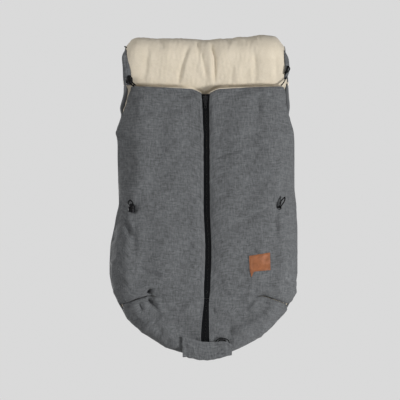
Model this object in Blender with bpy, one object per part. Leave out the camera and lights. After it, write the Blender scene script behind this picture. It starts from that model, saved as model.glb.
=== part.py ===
"""Stroller footmuff, hung by its folded hood: padded back, zip-open front lapels, foot pocket.

Metres, +Z up. +X is the viewer's right and -Y faces the viewer. The origin is the middle of the
saddle in which the folded hood hangs, so the back panel hangs below and in front of it.
"""

import math

import bmesh
import bpy
from mathutils import Matrix, Vector

# Clearances and cutter overrun
GAP = 0.0003
OVERRUN = 0.004

# Saddle of the hood
SADDLE_RADIUS = 0.030
SADDLE_CLEARANCE = 0.0005

# Cloth layers
SHELL = 0.0012
LINING = 0.0020
BACK_WADDING = 0.0100
HOOD_WADDING = 0.0160
FRONT_WADDING = 0.0090
SEAM_WADDING = 0.0010
SEAM_TAPER = 0.030
PANEL_PUFF = 0.0030

# Outline heights and half widths
BOTTOM_Z = -0.758
HIP_Z = -0.532
FOOT_SEAM_Z = -0.6045
FOOT_SEAM_DROP_SHARE = 0.2150538
MOUTH_Z = -0.0800
MOUTH_DIP = 0.0170
MOUTH_DIP_HALF = 0.032
HOOD_RISE_Z = -0.0735
HIP_HALF = 0.2375
WAIST_HALF = 0.2245
CHEST_HALF = 0.2235
SHOULDER_HALF = 0.2110
HOOD_HALF = 0.2000
COLLAR_HALF = 0.1870
WAIST_Z = -0.380
CHEST_Z = -0.190
SHOULDER_Z = -0.135
FOOT_OUTLINE_POWER = 0.58

# Depth of the front cover ahead of the side seam
MOUTH_DEPTH = 0.024
ANKLE_DEPTH = 0.074
TOE_DEPTH = 0.0435
TOE_Z = -0.744
SIDE_ROUND_SHARE = 0.20
TOE_ROUND_SHARE = 0.07
FLAT_SHARES = (0.0, 0.45)
ROUND_STEPS_SIDE = 4

# Front opening
SLOT_HALF = 0.0070
TAPE_OUTER = 0.0170
TAPE_INNER = 0.0035
TAPE = 0.0008
FOLD_TOP_X = 0.146
FOLD_FOOT_X = 0.0105
FOLD_AXIS_PROUD = 0.0010
LAPEL_FOOT_GAP = 0.0003
LAPEL_TAPE_SHARE = 0.7
UPPER_TOP_Z = MOUTH_Z - MOUTH_DIP

# Zip teeth and sliders
TOOTH_PITCH = 0.0060
TOOTH_HEIGHT = 0.0024
TOOTH_REACH = 0.0009
TOOTH_DEPTH = 0.0022
SPINE_INNER = 0.0020
SPINE_OUTER = 0.0032
SLIDER_LENGTH = 0.0170
SLIDER_HALF = 0.0062
SLIDER_TAIL_HALF = 0.0046
SLIDER_PLATE = 0.0016
SLIDER_CLEARANCE = 0.0004
BRIDGE_HALF = 0.0016
BRIDGE_LENGTH = 0.0110
BRIDGE_BAR = 0.0013
BRIDGE_EYE = 0.0024
UPPER_SLIDER_Z = -0.1060
LOWER_SLIDER_Z = -0.7290
PULLER_LENGTH = 0.0215
PULLER_HALF = 0.0030
PULLER_THICK = 0.0014
PULLER_HOLE = 0.0017
STOP_HEIGHT = 0.0016
STOP_HALF = 0.0032
TACK_HEIGHT = 0.0014

# Cord pull of the lower slider, across and up from the slider's middle
LOWER_CORD_RADIUS = 0.0009
LOWER_CORD_PROUD = 0.0014
LOWER_CORD_RETURN_X = 0.015
LOWER_CORD_ROUTE = (
    (0.010, 0.0), (0.021, 0.0015), (0.030, 0.0085), (0.040, 0.0150), (0.051, 0.0155),
    (0.058, 0.0090), (0.056, 0.0015), (0.046, -0.0040), (0.030, -0.0065),
)

# Foot flap
FLAP_LEFT = -0.058
FLAP_RIGHT = 0.064
FLAP_TOP_Z = -0.7190
FLAP_OFFSET = 0.0060
FLAP_THICK = 0.0024
FASTENER_IN = 0.024
FASTENER_OUT = 0.042
FASTENER_TOP_Z = -0.7225
FASTENER_LOW_Z = -0.7325
FASTENER_THICK = 0.0024

# Hood tail
TAIL_DROP = 0.140
TAIL_CORNER = 0.050

# Cord locks
LOCK_RADIUS = 0.0085
LOCK_HEIGHT = 0.0165
LOCK_CHAMFER = 0.0014
LOCK_FLOOR = 0.0016
PLUNGER_RADIUS = 0.0052
PLUNGER_BOTTOM = 0.0070
PLUNGER_PROUD = 0.0055
PLUNGER_DOME = 0.0018
PLUNGER_TRAVEL = 0.0035
BORE_HEIGHT = 0.0105
SPRING_WIRE = 0.0004
SPRING_RADIUS = 0.0036
SPRING_TURNS = 3
ELASTIC_RADIUS = 0.0015
BORE_HALF_WIDTH = 0.0036
BORE_HALF_HEIGHT = 0.0019
LOCK_SLIDE = 0.0080
LOCK_CLEARANCE = 0.0006

# Elastic loops: lean, rise and spread in strands
STRAND = ELASTIC_RADIUS + GAP / 2
LOOP_NECK = 0.22
LOOP_SHOULDER = 0.62
WAIST_LEFT_LOOP = (-0.003, 0.020, 3.4)
WAIST_RIGHT_LOOP = (0.013, 0.026, 2.4)
HOOD_LEFT_LOOP = (0.012, -0.018, 2.4)
HOOD_RIGHT_LOOP = (0.010, -0.020, 2.4)

# Eyelets
EYELET_RADIUS = 0.0056
EYELET_BORE = 0.0036
EYELET_BARREL = 0.0044
EYELET_FLANGE = 0.0009
EYELET_STAND = 0.0012
EYELET_IN_LEFT = 0.0415
EYELET_IN_RIGHT = 0.0405
WAIST_EYELET_LEFT_Z = -0.3800
WAIST_EYELET_RIGHT_Z = -0.3790
HOOD_LOCK_IN_LEFT = 0.0080
HOOD_LOCK_IN_RIGHT = 0.0120
HOOD_LOCK_Z = -0.0560

# Leather patch and anti-slip pad
PATCH_X = 0.1355
PATCH_Z = -0.5170
PATCH_WIDTH = 0.0490
PATCH_HEIGHT = 0.0420
PATCH_TURN = math.radians(6.0)
PATCH_THICK = 0.0016
PAD_HALF = 0.100
PAD_TOP_Z = -0.400
PAD_LOW_Z = -0.560
PAD_THICK = 0.0015

# Harness slots through the back
SHOULDER_SLOT_X = 0.062
SHOULDER_SLOT_HALF = 0.010
SHOULDER_SLOT_TOP = -0.150
SHOULDER_SLOT_LOW = -0.270
CROTCH_SLOT_HALF = 0.030
CROTCH_SLOT_TOP = -0.585
CROTCH_SLOT_LOW = -0.603

# Casing along the hood's side edge
CASING_TOP_HALF = 0.0035
CASING_LOW_HALF = 0.0105
CASING_THICK = 0.0050
CASING_LOW_Z = -0.0680
CASING_CLEARANCE = 0.0014

# Mesh steps
BACK_SHARES = (-1.0, -0.975, -0.92, -0.8, 0.0, 0.8, 0.92, 0.975, 1.0)
FOOT_ANGLE_SHARES = (0.0, 0.16, 0.33, 0.50, 0.66, 0.80, 0.90, 1.0)
HOOD_ROWS = 3
BACK_FOOT_ROWS = 7
TAIL_ROWS = 7
CASING_COLUMNS = 6
LAPEL_COLUMNS = 4
FLAP_COLUMNS = 5
ROUND_STEPS = 20
SIDE_ROWS = 12
LAPEL_ROWS = 8
SETTLE_ROUNDS = 12
OUTLINE_INSET_SHARE = 0.995
SADDLE_STEPS = 8
HELIX_STEPS = 8

SHELL_FACE = SADDLE_RADIUS + SADDLE_CLEARANCE
LAYERS = 2 * GAP + SHELL + LINING
BACK_FACE = SHELL_FACE + LAYERS + BACK_WADDING
SEAM_Y = BACK_FACE + GAP
FOOT_HEIGHT = HIP_Z - BOTTOM_Z
LAST_FOOT_ANGLE = math.radians(82.6)
FOOT_FLOOR_Z = HIP_Z - FOOT_HEIGHT * math.sin(LAST_FOOT_ANGLE)


# Materials

def material(name, colour, roughness, metallic=0.0):
    """Return a Principled material, made once."""
    found = bpy.data.materials.get(name)
    if found:
        return found
    made = bpy.data.materials.new(name)
    made.use_nodes = True
    shader = made.node_tree.nodes["Principled BSDF"]
    shader.inputs["Base Color"].default_value = (*colour, 1.0)
    shader.inputs["Roughness"].default_value = roughness
    shader.inputs["Metallic"].default_value = metallic
    return made


def shell_cloth():
    return material("grey_melange_shell", (0.13, 0.135, 0.14), 0.9)


def fleece():
    return material("cream_fleece", (0.68, 0.60, 0.48), 1.0)


def wadding():
    return material("white_wadding", (0.85, 0.85, 0.83), 1.0)


def black_webbing():
    return material("black_zip_tape", (0.012, 0.013, 0.015), 0.8)


def black_plastic():
    return material("black_plastic", (0.015, 0.015, 0.016), 0.3)


def gunmetal():
    return material("gunmetal", (0.09, 0.09, 0.095), 0.35, 1.0)


def leather():
    return material("tan_leather", (0.36, 0.13, 0.05), 0.6)


def elastic():
    return material("black_elastic", (0.014, 0.014, 0.015), 0.7)


def pad_rubber():
    return material("pad_rubber", (0.03, 0.03, 0.032), 0.8)


# Mesh helpers

def add_mesh(name, mesh_data, surface, crease_deg=40.0):
    """Turn a bmesh into a smooth-shaded object with its faces pointing out."""
    bmesh.ops.recalc_face_normals(mesh_data, faces=mesh_data.faces)
    mesh = bpy.data.meshes.new(name)
    mesh_data.to_mesh(mesh)
    mesh_data.free()
    mesh.materials.append(surface)
    mesh.shade_smooth()
    mesh.set_sharp_from_angle(angle=math.radians(crease_deg))
    obj = bpy.data.objects.new(name, mesh)
    bpy.context.scene.collection.objects.link(obj)
    return obj


def grid_solid(name, near, far, surface, present=None):
    """Close the space between two like grids of points; cells not present stay open."""
    rows, columns = len(near), len(near[0])
    build = bmesh.new()
    corners = {}

    def corner(side, row, column):
        key = (side, row, column)
        if key not in corners:
            grid = near if side == 0 else far
            corners[key] = build.verts.new(grid[row][column])
        return corners[key]

    def held(row, column):
        inside = 0 <= row < rows - 1 and 0 <= column < columns - 1
        return inside and (present is None or present(row, column))

    def quad(a, b, c, d):
        build.faces.new((a, b, c))
        build.faces.new((a, c, d))

    for row in range(rows - 1):
        for column in range(columns - 1):
            if not held(row, column):
                continue
            ring = [(row, column), (row, column + 1), (row + 1, column + 1), (row + 1, column)]
            quad(*[corner(0, *at) for at in ring])
            ends = [corner(1, *at) for at in ring]
            build.faces.new((ends[0], ends[2], ends[1]))
            build.faces.new((ends[0], ends[3], ends[2]))
            beside = [(row - 1, column), (row, column + 1), (row + 1, column), (row, column - 1)]
            for side, next_cell in enumerate(beside):
                if not held(*next_cell):
                    a, b = ring[side], ring[(side + 1) % 4]
                    quad(corner(0, *b), corner(0, *a), corner(1, *a), corner(1, *b))
    return add_mesh(name, build, surface)


def layer_grids(stations, start, thickness):
    """Offset stations of (point, inward, wadding) by a layer's start and thickness."""
    near = [[p + n * start(w) for p, n, w in row] for row in stations]
    far = [[p + n * (start(w) + thickness(w)) for p, n, w in row] for row in stations]
    return near, far


def shell_layer(name, stations, present=None):
    near, far = layer_grids(stations, lambda w: 0.0, lambda w: SHELL)
    return grid_solid(name, near, far, shell_cloth(), present)


def wadding_layer(name, stations, present=None):
    near, far = layer_grids(stations, lambda w: SHELL + GAP, lambda w: w)
    return grid_solid(name, near, far, wadding(), present)


def lining_layer(name, stations, present=None):
    near, far = layer_grids(stations, lambda w: SHELL + 2 * GAP + w, lambda w: LINING)
    return grid_solid(name, near, far, fleece(), present)


def extrude_outline(name, outline, low, high, surface):
    """Extrude an outline given in x and z from y = low to y = high."""
    build = bmesh.new()
    face = build.faces.new([build.verts.new((x, low, z)) for x, z in outline])
    grown = bmesh.ops.extrude_face_region(build, geom=[face])
    for item in grown["geom"]:
        if isinstance(item, bmesh.types.BMVert):
            item.co.y = high
    return add_mesh(name, build, surface, 30.0)


def turned(name, profile, surface, steps=ROUND_STEPS):
    """Turn a profile of (radius, height) about Z; ends on the axis close the solid."""
    build = bmesh.new()
    verts = [build.verts.new((r, 0.0, z)) for r, z in profile]
    edges = [build.edges.new(pair) for pair in zip(verts, verts[1:])]
    if profile[0][0] > 0.0:
        edges.append(build.edges.new((verts[-1], verts[0])))
    bmesh.ops.spin(
        build, geom=verts + edges, cent=(0, 0, 0), axis=(0, 0, 1),
        angle=2 * math.pi, steps=steps, use_merge=True,
    )
    bmesh.ops.remove_doubles(build, verts=build.verts, dist=GAP / 10)
    return add_mesh(name, build, surface, 35.0)


def box_outline(half_width, low, high):
    return [(-half_width, low), (half_width, low), (half_width, high), (-half_width, high)]


def rounded_outline(left, right, low, high, corner, steps=3):
    """Rectangle in x and z with round corners."""
    points = []
    centres = [
        (right - corner, low + corner, -90.0), (right - corner, high - corner, 0.0),
        (left + corner, high - corner, 90.0), (left + corner, low + corner, 180.0),
    ]
    for cx, cz, first in centres:
        for step in range(steps + 1):
            angle = math.radians(first + 90.0 * step / steps)
            points.append((cx + corner * math.cos(angle), cz + corner * math.sin(angle)))
    return points


def place(obj, matrix):
    """Place an object by its location and rotation."""
    obj.location = matrix.to_translation()
    obj.rotation_euler = matrix.to_euler()
    return obj


def combine(obj, other, operation):
    """Join another solid to an object, or cut it away, with an exact Boolean."""
    other.hide_render = True
    other.display_type = "WIRE"
    step = obj.modifiers.new(operation.lower() + "_" + other.name, "BOOLEAN")
    step.operation = operation
    step.solver = "EXACT"
    step.object = other


def tube(name, points, radius, surface, per_gap=3):
    """A cord through its points, read from a smooth curve, with filled ends."""
    ends = [points[0] * 2 - points[1]] + points + [points[-1] * 2 - points[-2]]
    path = []
    for a, b, c, d in zip(ends, ends[1:], ends[2:], ends[3:]):
        for step in range(per_gap):
            t = step / per_gap
            path.append(0.5 * (
                b * 2 + (c - a) * t + (a * 2 - b * 5 + c * 4 - d) * t ** 2
                + (b * 3 - a - c * 3 + d) * t ** 3
            ))
    path.append(points[-1])
    return plain_tube(name, path, radius, surface)


def plain_tube(name, path, radius, surface):
    curve = bpy.data.curves.new(name, "CURVE")
    curve.dimensions = "3D"
    curve.bevel_depth = radius
    curve.bevel_resolution = 1
    curve.use_fill_caps = True
    spline = curve.splines.new("POLY")
    spline.points.add(len(path) - 1)
    for point, at in zip(spline.points, path):
        point.co = (*at, 1.0)
    curve.materials.append(surface)
    obj = bpy.data.objects.new(name, curve)
    bpy.context.scene.collection.objects.link(obj)
    return obj


# The outline and the surface of the front cover

def smooth_share(share):
    share = min(max(share, 0.0), 1.0)
    return share * share * (3.0 - 2.0 * share)


def between(z, high, low, value_high, value_low):
    return value_high + (value_low - value_high) * smooth_share((high - z) / (high - low))


def foot_half(z):
    """Half width of the round foot end."""
    drop = min((HIP_Z - z) / FOOT_HEIGHT, 1.0)
    return HIP_HALF * (1.0 - drop * drop) ** FOOT_OUTLINE_POWER


def body_half(z):
    """Half width of the outline below the shoulder."""
    if z < HIP_Z:
        return foot_half(z)
    if z < WAIST_Z:
        return between(z, WAIST_Z, HIP_Z, WAIST_HALF, HIP_HALF)
    if z < CHEST_Z:
        return between(z, CHEST_Z, WAIST_Z, CHEST_HALF, WAIST_HALF)
    return between(z, SHOULDER_Z, CHEST_Z, SHOULDER_HALF, CHEST_HALF)


def back_half(z):
    """Half width of the back panel, up into the hood."""
    return body_half(z) if z < SHOULDER_Z else between(z, 0.0, SHOULDER_Z, HOOD_HALF, SHOULDER_HALF)


def front_half(z):
    """Half width of the front cover; its free upper corners are narrower than the back."""
    if z < SHOULDER_Z:
        return body_half(z)
    rise = (z - SHOULDER_Z) / (HOOD_RISE_Z - SHOULDER_Z)
    return SHOULDER_HALF - (SHOULDER_HALF - COLLAR_HALF) * rise ** 1.5


def mouth_z(x):
    """Height of the front cover's top edge, dipping at the zip and rising at the corners."""
    dip = MOUTH_DIP * max(1.0 - abs(x) / MOUTH_DIP_HALF, 0.0)
    rise = (HOOD_RISE_Z - MOUTH_Z) * smooth_share(abs(x) / COLLAR_HALF)
    return MOUTH_Z - dip + rise


def foot_seam_z(x):
    """Height of the seam between the front cover and the foot pocket."""
    start = FOLD_FOOT_X + GAP
    drop = (FOOT_SEAM_Z - TOE_Z) * FOOT_SEAM_DROP_SHARE
    return FOOT_SEAM_Z - drop * max(abs(x) - start, 0.0) / (HIP_HALF - start)


def front_depth(z):
    """Depth of the flat of the front cover, above the foot seam."""
    share = (MOUTH_Z - z) / (MOUTH_Z - FOOT_SEAM_Z)
    return MOUTH_DEPTH + (ANKLE_DEPTH - MOUTH_DEPTH) * share


def cover_depth(z, x=0.0):
    """Depth of the cover ahead of the side seam, before its sides round off."""
    seam = foot_seam_z(x)
    if z > seam:
        return front_depth(z)
    share = (seam - z) / (seam - TOE_Z)
    return front_depth(seam) + (TOE_DEPTH - front_depth(seam)) * share


def edge_share(x, z):
    """0 on the middle, 1 on the outline, and the share over which the cover rounds off."""
    if z >= HIP_Z:
        return min(abs(x) / front_half(z), 1.0), SIDE_ROUND_SHARE
    power = 1.0 / FOOT_OUTLINE_POWER
    across = (abs(x) / HIP_HALF) ** power
    along = ((HIP_Z - z) / FOOT_HEIGHT) ** 2
    share = min((across + along) ** FOOT_OUTLINE_POWER, 1.0)
    toe = (along / (across + along)) ** 2
    return share, SIDE_ROUND_SHARE + (TOE_ROUND_SHARE - SIDE_ROUND_SHARE) * toe


def cover_y(x, z):
    """Distance of the front cover's outer face ahead of the side seam."""
    share, round_share = edge_share(x, z)
    run = min((1.0 - share) / round_share, 1.0)
    return cover_depth(z, x) * math.sqrt(max(1.0 - (1.0 - run) ** 2, 0.0))


def cover_inward(x, z):
    """Unit vector into the pocket, square to the front cover; it halves the foot seam's bend."""
    seam = foot_seam_z(x)
    if abs(z - seam) < 3 * GAP:
        z = seam
    inside_x, inside_z = x * OUTLINE_INSET_SHARE, z + (1.0 - OUTLINE_INSET_SHARE) * (HIP_Z - z)
    at_x, at_z = (inside_x, inside_z) if edge_share(x, z)[0] > OUTLINE_INSET_SHARE else (x, z)
    reach = GAP / 3
    slope_x = (edge_share(at_x + reach, at_z)[0] - edge_share(at_x - reach, at_z)[0]) / reach / 2
    slope_z = (edge_share(at_x, at_z + reach)[0] - edge_share(at_x, at_z - reach)[0]) / reach / 2
    share, round_share = edge_share(x, z)
    run = min((1.0 - share) / round_share, 1.0)
    height = math.sqrt(max(1.0 - (1.0 - run) ** 2, 0.0))
    fall = cover_depth(z, x) / round_share * (1.0 - run)
    grade = (cover_depth(z + reach, x) - cover_depth(z - reach, x)) / (2 * reach) * height
    return Vector((-fall * slope_x, height, grade * height - fall * slope_z)).normalized()


def cover_point(x, z, puff=0.0):
    """Point of the front cover's outer face, with the inward direction there."""
    inward = cover_inward(x, z)
    return Vector((x, -SEAM_Y - cover_y(x, z), z)) - inward * puff, inward


def taper(distance):
    """Share of the full wadding at a distance from a sewn edge."""
    return math.sqrt(smooth_share(distance / SEAM_TAPER)) if distance > 0.0 else 0.0


def front_wadding(distance):
    return SEAM_WADDING + (FRONT_WADDING - SEAM_WADDING) * taper(distance)


def panel_puff(across, along):
    """Crown of a padded panel from its shares across and along."""
    return PANEL_PUFF * math.sqrt(max(math.sin(math.pi * across) * math.sin(math.pi * along), 0.0))


def across_cover(inner, half):
    """Distances across a half cover: even on the flat, closer together round the side."""
    flat = 1.0 - SIDE_ROUND_SHARE
    places = [inner + (flat * half - inner) * share for share in FLAT_SHARES]
    for step in range(ROUND_STEPS_SIDE + 1):
        turn = math.pi / 2 * step / ROUND_STEPS_SIDE
        places.append(half * (flat + SIDE_ROUND_SHARE * math.sin(turn)))
    return places


# Back, saddle and hood tail

def back_layers(x, z):
    """How far the back's shell is set forward at a place, and the wadding that is left there."""
    hood = smooth_share((z - HOOD_RISE_Z) / -HOOD_RISE_Z)
    full = BACK_WADDING + (HOOD_WADDING - BACK_WADDING) * hood
    to_edge = back_half(z) - abs(x)
    if z < HIP_Z:
        to_edge = min(to_edge, z - FOOT_FLOOR_Z)
    left = SEAM_WADDING + (full - SEAM_WADDING) * taper(to_edge)
    return (full - left) * (1.0 - hood), left


def back_faces(x, z):
    """Depths of the back's rear and front faces, with straight runs between its stations."""
    half = back_half(z)
    share = min(abs(x) / half, 1.0)
    after = next(index for index, edge in enumerate(BACK_SHARES) if edge >= share and edge > 0.0)
    low, high = BACK_SHARES[after - 1], BACK_SHARES[after]
    part = (share - low) / (high - low)
    forward, left = [
        a + (b - a) * part for a, b in zip(back_layers(low * half, z), back_layers(high * half, z))
    ]
    return SHELL_FACE + forward, SHELL_FACE + forward + LAYERS + left


def hood_heights():
    """Heights of the stations between the saddle and the mouth."""
    return [-GAP] + [HOOD_RISE_Z * step / HOOD_ROWS for step in range(1, HOOD_ROWS + 1)]


def back_stations():
    """Stations of the back panel from the saddle down to the foot end."""
    heights = hood_heights() + [SHOULDER_Z, CHEST_Z]
    heights += [(CHEST_Z + WAIST_Z) / 2, WAIST_Z, (WAIST_Z + HIP_Z) / 2]
    heights += [HIP_Z - FOOT_HEIGHT * math.sin(LAST_FOOT_ANGLE * step / BACK_FOOT_ROWS)
                for step in range(BACK_FOOT_ROWS + 1)]
    rows = []
    for z in heights:
        row = []
        for share in BACK_SHARES:
            x = share * back_half(z)
            forward, left = back_layers(x, z)
            row.append((Vector((x, -SHELL_FACE - forward, z)), Vector((0.0, -1.0, 0.0)), left))
        rows.append(row)
    return rows


def hood_wadding(to_edge):
    return SEAM_WADDING + (HOOD_WADDING - SEAM_WADDING) * taper(to_edge)


def saddle_stations():
    """Stations over the saddle, from its front level over the top to its rear level."""
    rows = []
    for step in range(SADDLE_STEPS + 1):
        angle = math.pi * step / SADDLE_STEPS
        out = Vector((0.0, -math.cos(angle), math.sin(angle)))
        rows.append([
            (out * SHELL_FACE + Vector((share * HOOD_HALF, 0.0, 0.0)), out,
             hood_wadding((1.0 - abs(share)) * HOOD_HALF))
            for share in BACK_SHARES
        ])
    return rows


def tail_stations():
    """Stations of the hood's free end, which hangs behind the saddle."""
    rows = []
    for step in range(TAIL_ROWS + 1):
        drop = GAP + (TAIL_DROP - GAP) * math.sin(math.pi / 2 * step / TAIL_ROWS)
        into = max(drop - (TAIL_DROP - TAIL_CORNER), 0.0)
        half = HOOD_HALF - TAIL_CORNER + math.sqrt(TAIL_CORNER ** 2 - into ** 2)
        rows.append([
            (Vector((share * half, SHELL_FACE, -drop)), Vector((0.0, 1.0, 0.0)),
             hood_wadding(min((1.0 - abs(share)) * half, TAIL_DROP - drop)))
            for share in BACK_SHARES
        ])
    return rows


def slot_cutters():
    """Harness slots: two long shoulder slots and one crotch slot."""
    cutters = []
    reach = SEAM_Y + OVERRUN
    for label, side in (("left", -1), ("right", 1)):
        middle = side * SHOULDER_SLOT_X
        outline = rounded_outline(
            middle - SHOULDER_SLOT_HALF, middle + SHOULDER_SLOT_HALF,
            SHOULDER_SLOT_LOW, SHOULDER_SLOT_TOP, SHOULDER_SLOT_HALF / 2, 1,
        )
        cutters.append(extrude_outline(
            "shoulder_slot_" + label, outline, -reach, -SADDLE_RADIUS + OVERRUN, shell_cloth()))
    outline = rounded_outline(
        -CROTCH_SLOT_HALF, CROTCH_SLOT_HALF, CROTCH_SLOT_LOW, CROTCH_SLOT_TOP,
        SHOULDER_SLOT_HALF / 2, 1,
    )
    cutters.append(extrude_outline(
        "crotch_slot", outline, -reach, -SADDLE_RADIUS + OVERRUN, shell_cloth()))
    return cutters


def build_back():
    stations = back_stations()
    layers = [
        shell_layer("back_shell", stations), wadding_layer("back_wadding", stations),
        lining_layer("back_lining", stations),
    ]
    for cutter in slot_cutters():
        for layer in layers:
            combine(layer, cutter, "DIFFERENCE")
    for name, rows in (("hood_saddle", saddle_stations()), ("hood_tail", tail_stations())):
        shell_layer(name + "_shell", rows)
        wadding_layer(name + "_wadding", rows)
        lining_layer(name + "_lining", rows)
    low = -SHELL_FACE + GAP
    outline = rounded_outline(-PAD_HALF, PAD_HALF, PAD_LOW_Z, PAD_TOP_Z, PAD_HALF / 5)
    extrude_outline("anti_slip_pad", outline, low, low + PAD_THICK, pad_rubber())


# Front cover: fixed sides, lapels and foot pocket

def fold_x(z):
    """Distance of the lapel's fold line from the middle."""
    share = (mouth_z(FOLD_TOP_X) - z) / (mouth_z(FOLD_TOP_X) - FOOT_SEAM_Z)
    return FOLD_TOP_X + (FOLD_FOOT_X - FOLD_TOP_X) * share


def settle(row_height, place_across, start_z):
    """Find the point of a column on a sloping row: each depends a little on the other."""
    z = start_z
    for _ in range(SETTLE_ROUNDS):
        x = place_across(z)
        z = row_height(x)
    return x, z


def side_stations(side):
    """Stations of a fixed side, from the fold line round to the side seam."""
    columns = len(FLAT_SHARES) + ROUND_STEPS_SIDE + 1
    rows = []
    for row_step in range(SIDE_ROWS + 1):
        along = row_step / SIDE_ROWS
        row = []
        for column in range(columns):
            x, z = settle(
                lambda x: mouth_z(x) + (foot_seam_z(x) - mouth_z(x)) * along,
                lambda z: across_cover(fold_x(z) + GAP, front_half(z))[column],
                MOUTH_Z + (FOOT_SEAM_Z - MOUTH_Z) * along,
            )
            to_edge = min(front_half(z) - x, mouth_z(x) - z, z - foot_seam_z(x))
            point, inward = puffed_side_point(x, z)
            row.append((mirrored(point, side), mirrored(inward, side), front_wadding(to_edge)))
        rows.append(row)
    return rows


def puffed_side_point(x, z):
    """Point of the right fixed side's outer face with its crown, and the inward direction."""
    inner = fold_x(z) + GAP
    across = (x - inner) / (front_half(z) - inner)
    along = (mouth_z(x) - z) / (mouth_z(x) - foot_seam_z(x))
    return cover_point(x, z, panel_puff(across, along))


def mirrored(vector, side):
    return Vector((vector.x * side, vector.y, vector.z))


def lapel_stations(side):
    """Stations of a lapel between the zip and the fold line; wadding fills its upper rows."""
    narrowest = TAPE_OUTER + GAP
    full_share = (FOLD_TOP_X - narrowest - SEAM_TAPER / 4) / (FOLD_TOP_X - FOLD_FOOT_X)
    alongs = [full_share * step / LAPEL_ROWS for step in range(LAPEL_ROWS + 1)]
    alongs += [(full_share + 1.0) / 2, 1.0]
    rows = []
    for along in alongs:
        row = []
        for column in range(LAPEL_COLUMNS):
            x, z = settle(
                lambda x: mouth_z(x) + (FOOT_SEAM_Z + LAPEL_FOOT_GAP - mouth_z(x)) * along,
                lambda z: across_lapel(fold_x(z), narrowest)[column],
                MOUTH_Z + (FOOT_SEAM_Z - MOUTH_Z) * along,
            )
            to_edge = min(x - SLOT_HALF, mouth_z(x) - z, z - FOOT_SEAM_Z)
            across = (x - SLOT_HALF) / (fold_x(z) - SLOT_HALF)
            down = (mouth_z(x) - z) / (mouth_z(x) - FOOT_SEAM_Z)
            point, inward = cover_point(x, z, panel_puff(across, down))
            row.append((mirrored(point, side), mirrored(inward, side),
                        front_wadding(max(to_edge, 0.0))))
        rows.append(row)
    return rows


def across_lapel(fold, narrowest):
    """Distances across a lapel: the slot's edge, the tape's outer edge, the middle, the fold."""
    tape_edge = min(narrowest, SLOT_HALF + (fold - SLOT_HALF) * LAPEL_TAPE_SHARE)
    return [SLOT_HALF, tape_edge, (tape_edge + fold) / 2, fold]


def build_front(side, label):
    sides = side_stations(side)
    shell = shell_layer("side_shell_" + label, sides)
    wadding_layer("side_wadding_" + label, sides)
    lining_layer("side_lining_" + label, sides)
    lapel = lapel_stations(side)
    shell_layer("lapel_shell_" + label, lapel)
    lining_layer("lapel_lining_" + label, lapel)
    wadding_layer("lapel_wadding_" + label, [row[1:] for row in lapel[:LAPEL_ROWS + 1]])
    return shell


def foot_rows():
    """Nominal heights of the foot pocket's rows; one lies on the zip slot's end."""
    first = math.asin((HIP_Z - FOOT_SEAM_Z) / FOOT_HEIGHT)
    angles = [first + (LAST_FOOT_ANGLE - first) * share for share in FOOT_ANGLE_SHARES]
    heights = [HIP_Z - FOOT_HEIGHT * math.sin(angle) for angle in angles]
    nearest = min(range(len(heights)), key=lambda row: abs(heights[row] - TOE_Z))
    heights[nearest] = TOE_Z
    return heights, nearest


def foot_stations():
    """Stations across the whole foot pocket, with the row on which the zip's slot ends."""
    heights, slot_row = foot_rows()
    rows = []
    for index, nominal in enumerate(heights):
        drop = smooth_share((nominal - TOE_Z) / (FOOT_SEAM_Z - TOE_Z))
        right = []
        for column in range(len(FLAT_SHARES) + ROUND_STEPS_SIDE + 2):
            x, z = settle(
                lambda x: nominal + (foot_seam_z(x) - FOOT_SEAM_Z - LAPEL_FOOT_GAP) * drop,
                lambda z: across_foot(foot_half(z))[column], nominal,
            )
            to_edge = min(foot_half(z) - x, z - FOOT_FLOOR_Z)
            if index <= slot_row:
                to_edge = min(to_edge, foot_seam_z(x) - z, x - SLOT_HALF)
            point, inward = cover_point(x, z)
            if index == len(heights) - 1:
                point = Vector((x, -SEAM_Y, z))
                inward = Vector((-x / foot_half(z) / 2, 0.0, 1.0)).normalized()
            right.append((point, inward, front_wadding(max(to_edge, 0.0))))
        left = [(mirrored(p, -1), mirrored(n, -1), w) for p, n, w in reversed(right)]
        rows.append(left + right)
    return rows, slot_row


def across_foot(half):
    """Distances across half of the foot pocket, from the slot's edge."""
    tape_edge = TAPE_OUTER + GAP
    if tape_edge > half * (1.0 - SIDE_ROUND_SHARE):
        tape_edge = SLOT_HALF + (half - SLOT_HALF) / 5
    return [SLOT_HALF] + across_cover(tape_edge, half)


def build_foot():
    rows, slot_row = foot_stations()
    middle = len(rows[0]) // 2 - 1
    shell_layer("foot_shell", rows, lambda row, column: column != middle or row >= slot_row)
    lining_layer("foot_lining", rows, lambda row, column: column != middle or row >= slot_row)
    wadding_layer("foot_wadding", rows,
                  lambda row, column: abs(column - middle) > 1 or row >= slot_row)


# Zip

def run_frame(high_z, low_z):
    """Frame of a straight run of zip: local -Z runs down it and -Y leads out of the cloth."""
    top = Vector((0.0, -SEAM_Y - cover_depth(high_z), high_z))
    low = Vector((0.0, -SEAM_Y - cover_depth(low_z), low_z))
    up = (top - low).normalized()
    across = Vector((1.0, 0.0, 0.0))
    inward = up.cross(across)
    turn = Matrix((across, inward, up)).transposed().to_4x4()
    return Matrix.Translation(top) @ turn, (top - low).length


def tape_outline(side, length, corner_drop, foot_width, narrowing):
    """Outline of one side of the tape; its outer edge starts lower and may narrow at the foot."""
    outline = [(TAPE_INNER, -2 * GAP), (TAPE_INNER, -length), (foot_width, -length),
               (TAPE_OUTER, -length + narrowing), (TAPE_OUTER, -corner_drop)]
    return [(side * x, z) for x, z in outline]


def foot_tape_outline(length, corner_drop):
    """Outline of both sides of the foot's tape, tacked together at the slot's end."""
    right = [(TAPE_OUTER, -length), (TAPE_OUTER, -corner_drop), (TAPE_INNER, -2 * GAP),
             (TAPE_INNER, -length + TACK_HEIGHT)]
    return right + [(-x, z) for x, z in reversed(right)]


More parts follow.
